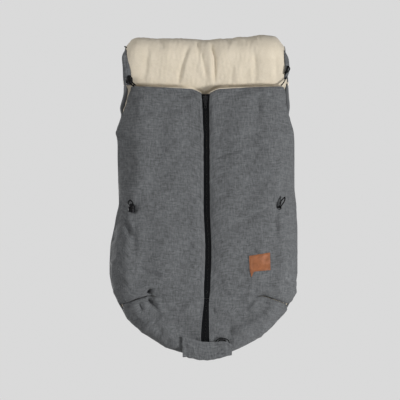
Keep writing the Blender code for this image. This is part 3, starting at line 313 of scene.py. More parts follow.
def run_along(path):
    """Distance along a path from its first point."""
    return np.concatenate([[0.0], np.cumsum(np.linalg.norm(np.diff(path, axis=0), axis=1))])


def read_along(values, run, at):
    return np.stack([np.interp(at, run, part) for part in values.T], axis=-1)


def swells(x, z, waves):
    """Sum of soft waves, each a height, a size, a seed and its stretch across and along."""
    return sum(height * soft_waves(x * across, z * along, size, seed)
               for height, size, seed, across, along in waves)


def crease_relief(x, z, creases):
    """Sum of creases, each a line of points with a depth, a width and a lean to one side."""
    total = np.zeros_like(x)
    for line, depth, width, lean in creases:
        steps = [math.dist(a, b) for a, b in zip(line, line[1:])]
        nearest = np.full_like(x, np.inf)
        signed = np.zeros_like(x)
        run = np.zeros_like(x)
        passed = 0.0
        for (ax, az), (bx, bz), step in zip(line, line[1:], steps):
            share = np.clip(((x - ax) * (bx - ax) + (z - az) * (bz - az)) / step ** 2, 0.0, 1.0)
            dx = x - ax - share * (bx - ax)
            dz = z - az - share * (bz - az)
            away = np.hypot(dx, dz)
            closer = away < nearest
            nearest = np.where(closer, away, nearest)
            signed = np.where(closer, np.sign((bx - ax) * dz - (bz - az) * dx) * away, signed)
            run = np.where(closer, (passed + share * step) / sum(steps), run)
            passed += step
        fade = smooth(np.minimum(run, 1.0 - run) * CREASE_END_RATE + CREASE_END_SHARE)
        total -= depth * bell(nearest, width) * fade
        total += lean * np.tanh(signed / width) * bell(nearest, width * CREASE_LEAN_REACH) * fade
    return total


def grid_normals(points):
    """Unit normals of a grid of points, out of the front for rows down and columns to the right."""
    return unit(np.cross(np.gradient(points, axis=0), np.gradient(points, axis=1)))


def run_lengths(points, axis):
    """Distance along a grid of points from its first row or column."""
    steps = np.linalg.norm(np.diff(points, axis=axis), axis=2)
    lead = np.zeros((1, points.shape[1]) if axis == 0 else (points.shape[0], 1))
    return np.concatenate([lead, np.cumsum(steps, axis=axis)], axis=axis)


def rolled(points, axis, at_end, radius, turn=math.pi, steps=4, crisp=False):
    """Add rows (axis 0) or columns (axis 1) that roll the cloth's edge under."""
    grid, normals = points, grid_normals(points)
    if axis == 0:
        grid, normals = grid.transpose(1, 0, 2), normals.transpose(1, 0, 2)
    edge, before = (-1, -2) if at_end else (0, 1)
    out = unit(grid[:, edge] - grid[:, before])
    normal = normals[:, edge]
    added = []
    if crisp:
        held = grid[:, edge] + (grid[:, before] - grid[:, edge]) * CRISP_SHARE
        grid = np.insert(grid, grid.shape[1] - 1 if at_end else 1, held, axis=1)
    for step in range(1, steps + 1):
        angle = turn * step / steps
        added.append(
            grid[:, edge] - normal * radius * (1.0 - math.cos(angle)) + out * radius * math.sin(angle))
    added = np.stack(added if at_end else added[::-1], axis=1)
    grid = np.concatenate([grid, added] if at_end else [added, grid], axis=1)
    return grid if axis == 1 else grid.transpose(1, 0, 2)


# Meshes

STITCH_RUN = 0.003
STITCH_PITCH = 0.0041
STITCH_LIFT = 0.0001
THREAD_RADIUS = 0.00038
THREAD_SIDES = 6
STITCH_STATIONS = (
    (-0.5, -0.9, 0.35), (-0.34, 0.2, 0.95), (0.0, 0.55, 1.0), (0.34, 0.2, 0.95), (0.5, -0.9, 0.35),
)


def keep_object(name, mesh, material):
    mesh.materials.append(material)
    mesh.shade_smooth()
    piece = bpy.data.objects.new(name, mesh)
    bpy.context.scene.collection.objects.link(piece)
    return piece


def grid_faces(rows, columns, back=False):
    """Numbers of the four corners of each cell of a grid of points."""
    number = np.arange(rows * columns).reshape(rows, columns)
    corners = [number[:-1, :-1], number[1:, :-1], number[1:, 1:], number[:-1, 1:]]
    return np.stack(corners[::-1] if back else corners, axis=2)


def tube_faces(first, rings, sides, closed=False):
    """Faces of a skin over rings of vertices, with its two end caps unless it is closed."""
    faces = []
    for ring in range(rings if closed else rings - 1):
        here, after = first + ring * sides, first + (ring + 1) % rings * sides
        for side in range(sides):
            other = (side + 1) % sides
            faces.append((here + side, here + other, after + other, after + side))
    if not closed:
        last = first + (rings - 1) * sides
        faces.append(tuple(range(first + sides - 1, first - 1, -1)))
        faces.append(tuple(range(last, last + sides)))
    return faces


def uv_mesh(name, vertices, faces, place, material):
    """Mesh of vertices and faces, with a texture coordinate for each vertex."""
    mesh = bpy.data.meshes.new(name)
    mesh.from_pydata(vertices.tolist(), [], faces.tolist())
    layer = mesh.uv_layers.new(name="cloth")
    layer.data.foreach_set("uv", place[faces.ravel()].ravel())
    return keep_object(name, mesh, material)


def cloth_grid(name, points, material, present=None, middle=0, back=False):
    """Mesh a grid of points, with texture coordinates in metres along the cloth."""
    across = run_lengths(points, 1)
    across = across - across[:, middle][:, None]
    place = np.stack([across, -run_lengths(points, 0)], axis=2).reshape(-1, 2)
    faces = grid_faces(*points.shape[:2], back)
    if present is not None:
        faces = faces[present]
    used, packed = np.unique(faces.reshape(-1, 4), return_inverse=True)
    packed = packed.reshape(-1, 4)
    return uv_mesh(name, points.reshape(-1, 3)[used], packed, place[used], material)


def solid_mesh(name, vertices, faces, material, smooth_angle=40.0):
    mesh = bpy.data.meshes.new(name)
    mesh.from_pydata([tuple(v) for v in vertices], [], faces)
    build = bmesh.new()
    build.from_mesh(mesh)
    bmesh.ops.recalc_face_normals(build, faces=build.faces)
    build.to_mesh(mesh)
    build.free()
    piece = keep_object(name, mesh, material)
    mesh.set_sharp_from_angle(angle=math.radians(smooth_angle))
    return piece


def join_pieces(name, pieces):
    """Join like pieces into one."""
    bpy.ops.object.select_all(action="DESELECT")
    for piece in pieces:
        piece.select_set(True)
    bpy.context.view_layer.objects.active = pieces[0]
    bpy.ops.object.join()
    joined = bpy.context.view_layer.objects.active
    joined.select_set(False)
    joined.name = name
    return joined


def smooth_path(points, per_gap=6):
    """Points of a smooth curve through the given ones."""
    ends = [points[0] * 2 - points[1]] + list(points) + [points[-1] * 2 - points[-2]]
    path = []
    for a, b, c, d in zip(ends, ends[1:], ends[2:], ends[3:]):
        for step in range(per_gap):
            t = step / per_gap
            path.append(0.5 * (
                b * 2 + (c - a) * t + (a * 2 - b * 5 + c * 4 - d) * t ** 2
                + (b * 3 - a - c * 3 + d) * t ** 3
            ))
    path.append(points[-1])
    return path


def cord_curve(name, path, radius, material):
    """A round cord along its path, as a curve of one open spline."""
    curve = bpy.data.curves.new(name, "CURVE")
    curve.dimensions = "3D"
    curve.bevel_depth = radius
    curve.bevel_resolution = 4
    curve.use_fill_caps = True
    spline = curve.splines.new("POLY")
    spline.points.add(len(path) - 1)
    for point, at in zip(spline.points, path):
        point.co = (*at, 1.0)
    spline.use_smooth = True
    curve.materials.append(material)
    piece = bpy.data.objects.new(name, curve)
    bpy.context.scene.collection.objects.link(piece)
    return piece


def resampled(path, normals, pitch):
    """Evenly spaced places along a path, with the direction and the cloth's normal at each."""
    path, normals = np.asarray(path, float), np.asarray(normals, float)
    run = run_along(path)
    at = np.arange(pitch / 2, run[-1], pitch)
    along = unit(read_along(path, run, at + pitch / 4) - read_along(path, run, at - pitch / 4))
    out = read_along(normals, run, at)
    out = unit(out - along * np.sum(out * along, axis=1, keepdims=True))
    return read_along(path, run, at), along, out


def stitches(name, lines, material):
    """Machine stitches along lines of (path, normals): short threads that dive at each end."""
    vertices, faces = [], []
    for path, normals in lines:
        for place, along, out in zip(*resampled(path, normals, STITCH_PITCH)):
            beside = np.cross(along, out)
            faces += tube_faces(len(vertices), len(STITCH_STATIONS), THREAD_SIDES)
            for run, rise, width in STITCH_STATIONS:
                middle = place + along * run * STITCH_RUN + out * rise * THREAD_RADIUS
                for turn in full_turn(THREAD_SIDES):
                    spoke = out * math.cos(turn) + beside * math.sin(turn)
                    vertices.append(middle + spoke * THREAD_RADIUS * width)
    return solid_mesh(name, vertices, faces, material, 60.0)


def all_cells(grid):
    """Mask that keeps every cell of a grid."""
    return np.ones((grid.shape[0] - 1, grid.shape[1] - 1), bool)


def to_either_end(run, axis):
    """Length to the nearer end, from lengths run down the rows or across the columns."""
    return np.minimum(run, (run[:, -1:] if axis else run[-1:]) - run)


def seam_lines(points, normals, ways, lift=STITCH_LIFT):
    """Lines of stitching along rows and columns of a grid, just off the cloth."""
    lifted = points + normals * lift
    return [(lifted[at], normals[at]) for at in ways]


def sew(name, lines, seam_thread, body="bag"):
    """Stitches along lines of (path, normals) on pieces that move with one body."""
    sewing = stitches(name, lines, seam_thread)
    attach(sewing, body)


# Materials

SHADER_SOCKETS = {
    "colour": "Base Color", "roughness": "Roughness", "metallic": "Metallic",
    "gleam": "Specular IOR Level", "sheen": "Sheen Weight", "sheen_roughness": "Sheen Roughness",
}


def put(tree, kind, inputs=None, **settings):
    """Add a node; an input given as a socket is linked, any other value is set."""
    made = tree.nodes.new("ShaderNode" + kind)
    for name, value in settings.items():
        setattr(made, name, value)
    for name, value in (inputs or {}).items():
        if isinstance(value, bpy.types.NodeSocket):
            tree.links.new(value, made.inputs[name])
        else:
            made.inputs[name].default_value = value
    return made


def start_material(name, **values):
    """Return a new material whose shader has the given values, and its node tree."""
    made = bpy.data.materials.new(name)
    made.use_nodes = True
    for key, value in values.items():
        made.node_tree.nodes["Principled BSDF"].inputs[SHADER_SOCKETS[key]].default_value = value
    return made, made.node_tree


def noise(tree, place, size, detail=2.0, stretch=(1.0, 1.0, 1.0), roughness=0.5):
    """Noise with swells of the given size in millimetres, stretched along an axis."""
    moved = put(tree, "Mapping", {
        "Vector": place, "Scale": tuple(1.0 / (size * amount) for amount in stretch)})
    return put(tree, "TexNoise", {
        "Vector": moved.outputs["Vector"], "Scale": 1.0, "Detail": detail, "Roughness": roughness,
    }).outputs["Fac"]


def finish_material(made, tone, height, depth_mm, strength, rough=None):
    """Link the shader's colour, its bump from a height of 0 to 1 and, if given, its roughness."""
    tree = made.node_tree
    shader = tree.nodes["Principled BSDF"]
    bump = put(tree, "Bump", {"Height": height, "Distance": depth_mm / 1000.0, "Strength": strength})
    tree.links.new(tone, shader.inputs["Base Color"])
    tree.links.new(bump.outputs["Normal"], shader.inputs["Normal"])
    if rough is not None:
        tree.links.new(rough, shader.inputs["Roughness"])
    return made


def place_in_mm(tree, kind):
    """Coordinates in millimetres: UV lies along the cloth, Object suits small solid parts."""
    place = put(tree, "TexCoord").outputs[kind]
    return put(tree, "Mapping", {"Vector": place, "Scale": (1000.0,) * 3}).outputs["Vector"]


def bands(tree, place, scale, direction, **inputs):
    """Even bands that cross the given direction."""
    return put(tree, "TexWave", {"Vector": place, "Scale": scale, **inputs},
               bands_direction=direction).outputs["Fac"]


def blended(tree, share, first, second, **settings):
    """Mix two colours by a socket or a number."""
    mix = put(tree, "Mix", data_type="RGBA", **settings)
    for value, at in ((share, "Factor"), (first, 6), (second, 7)):
        if isinstance(value, bpy.types.NodeSocket):
            tree.links.new(value, mix.inputs[at])
        else:
            mix.inputs[at].default_value = value if at == "Factor" else (*value, 1.0)
    return mix.outputs[2]


def stretched(tree, value, low, high, to_low=0.0, to_high=1.0):
    """Map a range of a socket's value to another range."""
    return put(tree, "MapRange", {
        "Value": value, "From Min": low, "From Max": high, "To Min": to_low, "To Max": to_high,
    }).outputs["Result"]


def maths(tree, operation, *values):
    made = put(tree, "Math", operation=operation)
    for number, value in enumerate(values):
        if isinstance(value, bpy.types.NodeSocket):
            tree.links.new(value, made.inputs[number])
        else:
            made.inputs[number].default_value = value
    return made.outputs["Value"]


def scaled_colour(colour, amount):
    return tuple(min(part * amount, 1.0) for part in colour)


def toned(tree, share, colour, dark, light):
    """Mix a darker and a lighter share of a colour by a socket."""
    return blended(tree, share, scaled_colour(colour, dark), scaled_colour(colour, light))


def shaded(tree, tone, shade):
    return blended(tree, 1.0, tone, shade, blend_type="MULTIPLY")


def weighed(tree, *parts):
    """Sum of sockets, each times its share."""
    total = 0.0
    for socket, share in parts:
        total = maths(tree, "MULTIPLY_ADD", socket, share, total)
    return total


def melange_cloth(name, colour):
    """Woven melange: light and dark yarns both ways, slubs and a fine weave."""
    made, tree = start_material(name, roughness=0.88, sheen=0.12, sheen_roughness=0.5, gleam=0.25)
    place = place_in_mm(tree, "UV")
    warp = noise(tree, place, 0.9, 2.0, (1.0, 9.0, 1.0), 0.6)
    weft = noise(tree, place, 0.9, 2.0, (9.0, 1.0, 1.0), 0.6)
    slub_down = noise(tree, place, 3.6, 2.0, (1.0, 5.0, 1.0), 0.6)
    slub_across = noise(tree, place, 3.6, 2.0, (6.0, 1.0, 1.0), 0.6)
    yarn = weighed(tree, (warp, 0.225), (weft, 0.225), (slub_down, 0.275), (slub_across, 0.275))
    tone = toned(tree, stretched(tree, yarn, 0.4, 0.6), colour, 0.6, 1.48)
    swell = stretched(tree, noise(tree, place, 46.0, 3.0), 0.3, 0.7)
    worn = blended(tree, swell, (0.93,) * 3, (1.05,) * 3)
    over = bands(tree, place, 0.42, "X", Distortion=0.6)
    under = bands(tree, place, 0.42, "Y", Distortion=0.6)
    height = weighed(tree, (yarn, 1.0), (maths(tree, "MULTIPLY", over, under), 0.4))
    return finish_material(made, shaded(tree, tone, worn), height, 0.35, 0.8)


def fleece_pile(name, colour):
    """Short cream pile: clumps of fibre over a soft, slightly uneven ground."""
    made, tree = start_material(name, roughness=0.97, sheen=0.25, sheen_roughness=0.6, gleam=0.15)
    place = place_in_mm(tree, "UV")
    clump = noise(tree, place, 3.2, 4.0, (1.0, 1.4, 1.0), 0.65)
    fibre = noise(tree, place, 0.7, 2.0, (1.0, 2.2, 1.0), 0.6)
    ground = stretched(tree, noise(tree, place, 30.0, 3.0), 0.3, 0.7)
    tone = toned(tree, stretched(tree, clump, 0.35, 0.65), colour, 0.96, 1.03)
    shade = blended(tree, ground, (0.97, 0.965, 0.95), (1.02,) * 3)
    height = weighed(tree, (clump, 0.7), (fibre, 0.3))
    return finish_material(made, shaded(tree, tone, shade), height, 0.5, 0.5)


def woven_tape(name, colour):
    """Black woven tape with a fine herringbone."""
    made, tree = start_material(name, roughness=0.75, gleam=0.1)
    place = place_in_mm(tree, "UV")
    chevron = bands(tree, place, 0.5, "DIAGONAL", Distortion=1.2, Detail=1.0)
    dust = stretched(tree, noise(tree, place, 3.0, 3.0), 0.35, 0.7)
    return finish_material(made, toned(tree, dust, colour, 0.8, 1.5), chevron, 0.25, 0.7)


def moulded_plastic(name, colour, roughness, gleam):
    """Black plastic with a faint moulded grain and scuffed edges."""
    made, tree = start_material(name, roughness=roughness, gleam=gleam)
    place = place_in_mm(tree, "Object")
    grain = noise(tree, place, 0.5, 2.0)
    scuff = stretched(tree, noise(tree, place, 2.4, 4.0), 0.42, 0.72)
    rough = stretched(tree, scuff, 0.0, 1.0, roughness * 0.8, min(roughness * 1.5, 1.0))
    return finish_material(made, toned(tree, scuff, colour, 1.0, 1.9), grain, 0.04, 0.5, rough)


def plated_metal(name, colour, roughness):
    """Plated metal with fine brushing and slightly worn plating."""
    made, tree = start_material(name, roughness=roughness, metallic=1.0)
    place = place_in_mm(tree, "Object")
    brushed = noise(tree, place, 0.35, 2.0, (1.0, 1.0, 9.0))
    worn = stretched(tree, noise(tree, place, 1.8, 4.0), 0.45, 0.75)
    rough = stretched(tree, brushed, 0.3, 0.7, roughness * 0.75, roughness * 1.35)
    return finish_material(made, toned(tree, worn, colour, 1.0, 2.2), brushed, 0.03, 0.4, rough)


def braided_elastic(name, colour):
    """Round elastic with a diagonal braid."""
    made, tree = start_material(name, roughness=0.62, gleam=0.08)
    place = place_in_mm(tree, "Object")
    braid = bands(tree, place, 0.45, "DIAGONAL", Distortion=0.3)
    height = weighed(tree, (braid, 0.7), (noise(tree, place, 0.6, 1.0), 0.3))
    return finish_material(made, toned(tree, height, colour, 0.6, 1.6), height, 0.25, 0.8)


def tan_leather(name, colour):
    """Split leather with a fine grain, darker pores and lighter rubbed patches."""
    made, tree = start_material(name, roughness=0.5)
    place = place_in_mm(tree, "UV")
    pores = put(tree, "TexVoronoi", {"Vector": place, "Scale": 1.1}, feature="DISTANCE_TO_EDGE")
    grain = stretched(tree, pores.outputs["Distance"], 0.0, 0.22)
    rubbed = stretched(tree, noise(tree, place, 14.0, 4.0), 0.35, 0.7)
    tone = toned(tree, rubbed, colour, 0.84, 1.22)
    deep = blended(tree, grain, (0.72, 0.7, 0.68), (1.0, 1.0, 1.0))
    rough = stretched(tree, rubbed, 0.0, 1.0, 0.62, 0.42)
    return finish_material(made, shaded(tree, tone, deep), grain, 0.16, 0.6, rough)


def thread(name, colour):
    """Twisted sewing thread."""
    made, tree = start_material(name, roughness=0.7)
    twist = bands(tree, place_in_mm(tree, "Object"), 0.9, "DIAGONAL")
    return finish_material(made, toned(tree, twist, colour, 0.75, 1.2), twist, 0.06, 0.6)


def dotted_rubber(name, colour):
    """Anti-slip face: raised dots in even rows on a fabric ground."""
    made, tree = start_material(name, roughness=0.7)
    place = place_in_mm(tree, "UV")
    dots = put(tree, "TexVoronoi", {"Vector": place, "Scale": 0.2, "Randomness": 0.0})
    dot = stretched(tree, dots.outputs["Distance"], 0.42, 0.3)
    return finish_material(made, toned(tree, dot, colour, 0.8, 1.7), dot, 0.8, 0.9)


def hook_tape(name, colour):
    """Hook and loop fastener: a dense mat of short fibres."""
    made, tree = start_material(name, roughness=0.9)
    mat = noise(tree, place_in_mm(tree, "Object"), 0.5, 3.0, roughness=0.7)
    tone = toned(tree, stretched(tree, mat, 0.35, 0.65), colour, 0.6, 2.0)
    return finish_material(made, tone, mat, 0.6, 1.0)


# Cloth simulation

CLOTH_FRAMES = 22
CLOTH_SETTINGS = {
    "quality": 6, "mass": 0.25, "air_damping": 3.0, "tension_stiffness": 18.0,
    "compression_stiffness": 18.0, "shear_stiffness": 6.0, "bending_stiffness": 0.6,
    "pin_stiffness": 1.0, "use_pressure": True,
}


def settle_cloth(points, growth, pressure, cap):
    """Let a grid of cloth swell from its sewn border; return how far each place moves."""
    rows, columns = points.shape[:2]
    mesh = bpy.data.meshes.new("cloth_in_work")
    faces = grid_faces(rows, columns).reshape(-1, 4)
    mesh.from_pydata(points.reshape(-1, 3).tolist(), [], faces.tolist())
    piece = bpy.data.objects.new("cloth_in_work", mesh)
    bpy.context.scene.collection.objects.link(piece)
    border = from_ends(rows)[:, None] * from_ends(columns) == 0
    sewn = piece.vertex_groups.new(name="sewn")
    sewn.add(np.flatnonzero(border).tolist(), 1.0, "REPLACE")
    cloth = piece.modifiers.new("cloth", "CLOTH")
    for name, value in CLOTH_SETTINGS.items():
        setattr(cloth.settings, name, value)
    cloth.settings.vertex_group_mass = "sewn"
    cloth.settings.shrink_min = -growth
    cloth.settings.uniform_pressure_force = pressure
    cloth.settings.effector_weights.gravity = 0.0
    cloth.collision_settings.use_collision = False
    scene = bpy.context.scene
    for frame in range(1, CLOTH_FRAMES + 1):
        scene.frame_set(frame)
    made = piece.evaluated_get(bpy.context.evaluated_depsgraph_get()).data
    moved = np.zeros(rows * columns * 3)
    made.vertices.foreach_get("co", moved)
    moved = moved.reshape(rows, columns, 3) - points
    bpy.data.objects.remove(piece)
    bpy.data.meshes.remove(mesh)
    scene.frame_set(1)
    far = np.linalg.norm(moved, axis=2, keepdims=True)
    return moved * np.minimum(1.0, cap / np.maximum(far, TINY))


def finer(grid, rows, columns):
    """Read a coarse grid of values at the places of a finer one."""
    for axis, count in ((1, columns), (0, rows)):
        old = np.linspace(0.0, 1.0, grid.shape[axis])
        new = np.linspace(0.0, 1.0, count)
        grid = np.apply_along_axis(lambda line: np.interp(new, old, line), axis, grid)
    return grid


def softened(grid, rounds=2):
    """Average each place with its neighbours; the border keeps its place."""
    for _ in range(rounds):
        inner = (grid[:-2, 1:-1] + grid[2:, 1:-1] + grid[1:-1, :-2] + grid[1:-1, 2:]) / 4.0
        grid = grid.copy()
        grid[1:-1, 1:-1] = (grid[1:-1, 1:-1] + inner) / 2.0
    return grid


# Front cover

FRONT_OUTLINE = COLLAR + tuple(row for row in OUTLINE if row[0] < COLLAR[-1][0] - GAP)
SEWN_SEAM_START = 0.14
SEWN_SEAM_RISE = 0.004
SEWN_SEAM_DROP = 0.039
SEWN_SEAM_POWER = 1.3
RIDGE_SOFT = 0.005
SWELL_CAP = 0.004
SLOT_ROLL = 0.0013
ZIP_PUCKER_REACH = 0.03
BROAD_CROWN = 1.5
FOLD_ROOM = 0.008
FOLD_ROOM_REACH = 0.03
SEAM_TUCK = 0.005
LINING_DRAW = 1.2
SEAM_SINK = 0.0045
SEAM_SINK_REACH = 0.012

COARSE_FRONT = (76, 24, 10)
FINE_FRONT = (151, 46, 20)
PLACE_ROUNDS = 10
EYELET_REACH = 0.012
EYELET_STEP = 0.0011
DRAW_START = 0.112
DRAW_RUN = 0.03
SEAM_VALLEY = ((0.0052, 0.0032, 1.3), (0.0034, 0.012, 1.5))
SIDE_ROLL = 0.0016
MOUTH_ROLL = 0.0018
SEAM_ROLL = 0.0012
LIP_ROLL = 0.0021
LIP_STEP = 1.05
PILE_EDGE = 0.02
FRONT_WAVES = (
    (0.002, 0.085, 3, 1.0, 0.7), (0.0008, 0.03, 5, 0.55, 1.0), (0.0004, 0.013, 7, 0.8, 1.0),
)
ZIP_PUCKERS = ((0.0007, 0.014, 9, 0.1, 1.0),)
PILE_WAVES = ((0.0006, 0.016, 11, 1.0, 1.0), (0.0009, 0.06, 12, 1.0, 1.0))
FRONT_CREASES = (
    (((-0.22, -0.396), (-0.212, -0.404), (-0.1963, -0.4257), (-0.1905, -0.456)), 0.0064, 0.0056, 0.004),
    (((-0.1975, -0.356), (-0.1905, -0.37), (-0.188, -0.39)), 0.0032, 0.0045, 0.0018),
    (((-0.216, -0.37), (-0.204, -0.378), (-0.195, -0.383)), 0.0044, 0.0042, 0.0014),
    (((-0.22, -0.384), (-0.205, -0.393), (-0.196, -0.402)), 0.004, 0.0036, 0.0016),
    (((-0.181, -0.398), (-0.183, -0.45), (-0.18, -0.508)), 0.004, 0.011, 0.0016),
    (((-0.17, -0.535), (-0.14, -0.543), (-0.107, -0.553)), 0.0034, 0.0045, 0.0018),
    (((-0.15, -0.608), (-0.143, -0.599), (-0.14, -0.592), (-0.131, -0.586)), 0.006, 0.0042, -0.0024),
    (((-0.152, -0.588), (-0.14, -0.602), (-0.126, -0.616)), 0.0036, 0.009, 0.0),
    (((-0.1735, -0.1361), (-0.1024, -0.1323), (-0.0236, -0.1336)), 0.0018, 0.0035, 0.0006),
    (((-0.1836, -0.2352), (-0.1024, -0.2314), (-0.0185, -0.2365)), 0.0015, 0.004, 0.0006),
    (((0.015, -0.254), (0.0577, -0.2403), (0.0958, -0.2301)), 0.0028, 0.004, 0.001),
    (((0.015, -0.3), (0.076, -0.284), (0.129, -0.266)), 0.0018, 0.005, 0.0008),
    (((0.0272, -0.1946), (0.0881, -0.1997), (0.144, -0.1895)), 0.0014, 0.005, 0.0006),
    (((0.133, -0.09), (0.136, -0.13), (0.129, -0.17)), 0.0022, 0.008, 0.001),
    (((0.165, -0.085), (0.174, -0.108), (0.176, -0.14)), 0.003, 0.006, 0.0012),
    (((0.0958, -0.4079), (0.144, -0.3876), (0.182, -0.38)), 0.0024, 0.0055, 0.001),
    (((0.081, -0.396), (0.1, -0.389)), 0.002, 0.005, 0.0006),
    (((0.185, -0.386), (0.18, -0.415), (0.184, -0.46)), 0.0024, 0.0065, 0.001),
    (((-0.03, -0.11), (-0.07, -0.135), (-0.11, -0.142)), 0.0014, 0.008, 0.0006),
    (((-0.186, -0.1), (-0.176, -0.13), (-0.18, -0.165)), 0.0026, 0.0085, 0.0014),
    (((-0.205, -0.21), (-0.186, -0.26), (-0.188, -0.33)), 0.0034, 0.012, 0.0014),
    (((0.106, -0.59), (0.15, -0.58), (0.19, -0.586)), 0.0016, 0.008, 0.001),
    (((0.14, -0.556), (0.18, -0.548), (0.21, -0.55)), 0.0014, 0.006, 0.0006),
)
FOOT_CREASES = (
    (((-0.148, -0.607), (-0.14, -0.615), (-0.13, -0.6265), (-0.121, -0.637)), 0.006, 0.0042, 0.0024),
    (((-0.152, -0.608), (-0.14, -0.618), (-0.128, -0.626)), 0.0034, 0.009, 0.0),
    (((-0.165, -0.62), (-0.1625, -0.631), (-0.159, -0.646)), 0.0044, 0.0032, 0.0016),
    (((-0.18, -0.656), (-0.15, -0.662), (-0.103, -0.654)), 0.004, 0.006, -0.0012),
    (((-0.16, -0.678), (-0.12, -0.67), (-0.085, -0.6615), (-0.05, -0.653)), -0.0028, 0.006, 0.0012),
    (((-0.19, -0.646), (-0.178, -0.66), (-0.16, -0.674)), 0.0024, 0.006, 0.001),
    (((0.0105, -0.63), (0.018, -0.637), (0.029, -0.648)), 0.004, 0.0034, 0.0014),
    (((0.145, -0.608), (0.128, -0.618), (0.108, -0.642)), -0.0026, 0.005, 0.002),
    (((0.185, -0.636), (0.13, -0.665), (0.082, -0.694), (0.06, -0.71)), -0.0042, 0.011, 0.0016),
    (((0.165, -0.668), (0.135, -0.686), (0.105, -0.702)), 0.002, 0.006, 0.0008),
    (((0.056, -0.656), (0.064, -0.68), (0.06, -0.705)), 0.0024, 0.009, 0.0012),
    (((-0.09, -0.69), (-0.055, -0.68), (-0.025, -0.683)), 0.002, 0.007, 0.0008),
)


def sewn_seam_z(x):
    """Height of the sewn seam between the front and the foot pocket, as it hangs."""
    out = np.clip((np.abs(x) - SEWN_SEAM_START) / (HIP_HALF - SEWN_SEAM_START), 0.0, None)
    return FOOT_SEAM_Z + SEWN_SEAM_RISE - SEWN_SEAM_DROP * out ** SEWN_SEAM_POWER


def toe_depth(z, seam):
    """Depth of the cover below a foot seam, straight down to the toe."""
    return TOE_DEPTH + (front_depth(seam) - TOE_DEPTH) / (seam - TOE_Z) * (z - TOE_Z)


def hung_cover_y(x, z):
    """Distance of the hung cover ahead of the side seam, with a soft ridge along the foot seam."""
    above, below = front_depth(z), toe_depth(z, sewn_seam_z(x))
    depth = -RIDGE_SOFT * np.log(np.exp(-above / RIDGE_SOFT) + np.exp(-below / RIDGE_SOFT))
    share, round_share = edge_share(x, z)
    run = np.minimum((1.0 - share) / round_share, 1.0)
    return depth * np.sqrt(np.maximum(1.0 - (1.0 - run) ** 2, 0.0))


def across_places(slot, half, flat, round_columns):
    """Places from the zip to the side: even ones, then closer ones where the cover rounds off."""
    level = 1.0 - SIDE_ROUND_SHARE
    turn = np.linspace(0.0, math.pi / 2.0, round_columns + 1)[1:]
    inner = slot + (level * half[:, :flat + 1] - slot) * np.linspace(0.0, 1.0, flat + 1)
    outer = half[:, flat + 1:] * (level + SIDE_ROUND_SHARE * np.sin(turn))
    return np.concatenate([inner, outer], axis=1)


def front_places(rows, flat, round_columns):
    """Even places of a right half front: rows from the mouth down, columns from the zip out."""
    along = np.linspace(0.0, 1.0, rows)[:, None]
    z = (MOUTH_Z + (FOOT_SEAM_Z - MOUTH_Z) * along) * np.ones((1, flat + round_columns + 1))
    for _ in range(PLACE_ROUNDS):
        x = across_places(opening_half(z[:, :1]), front_half(z), flat, round_columns)
        z = mouth_z(x) + (sewn_seam_z(x) - mouth_z(x)) * along
    return x, z


def facing_right(grid, side):
    """Put the columns of a half in order from left to right."""
    return grid if side > 0 else grid[:, ::-1]


def front_surface(side, rows, flat, round_columns, crown_height):
    """Points of one half of the hung front, with its even places."""
    x, z = front_places(rows, flat, round_columns)
    half = front_half(z)
    across = (x - SLOT_HALF) / (half - SLOT_HALF)
    along = (mouth_z(x) - z) / (mouth_z(x) - sewn_seam_z(x))
    ends = np.sqrt(np.maximum(np.sin(math.pi * along), 0.0))
    over = np.maximum(np.sin(math.pi * across), 0.0)
    crown = ends * (np.sqrt(over) + BROAD_CROWN * over)
    hung = hung_x(side * x, z, half, FRONT_OUTLINE)
    points = np.stack([hung, -SEAM_Y - hung_cover_y(x, z), z], axis=2)
    points = facing_right(points, side)
    crown = facing_right(crown, side)[:, :, None]
    return points + grid_normals(points) * crown * crown_height, facing_right(x, side)


def hardware_room(points, relief):
    """Keep the relief off the eyelets, where the cloth is drawn up to the flange."""
    for name in ("waist_eyelet_left", "waist_eyelet_right"):
        low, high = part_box(name)
        middle = (low + high) / 2
        away = np.hypot(points[:, :, 0] - middle.x, points[:, :, 2] - middle.z)
        near = bell(away, EYELET_REACH)
        relief = relief * (1.0 - near) + (points[:, :, 1] - low.y - EYELET_STEP) * near
    return relief


def tucked(points, at_end):
    """Turn the first or last row of a sewn edge straight in, to close the seam behind."""
    row = (points[-1:] if at_end else points[:1]) + np.array((0.0, SEAM_TUCK, 0.0))
    return np.concatenate([points, row] if at_end else [row, points])


def drawn_in(x):
    """How far the foot seam is drawn in: not at all beside the zip, fully at the sides."""
    return smooth((np.abs(x) - DRAW_START) / DRAW_RUN)


def seam_valley(x, z):
    """Valley along the foot seam: a narrow cleft in a shallow trough."""
    away = np.abs(z - sewn_seam_z(x))
    return -drawn_in(x) * sum(depth * bell(away, reach, power) for depth, reach, power in SEAM_VALLEY)


def front_relief(points, crease_share):
    """Creases and soft swells of the front cloth, at their places as it hangs."""
    x, z = points[:, :, 0], points[:, :, 2]
    relief = crease_relief(*as_photographed(points), FRONT_CREASES) * crease_share
    relief += swells(x, z, FRONT_WAVES)
    relief += swells(x, z, ZIP_PUCKERS) * np.exp(-np.abs(x) / ZIP_PUCKER_REACH)
    return relief * edge_fade(points.shape[:2]) + seam_valley(x, z)


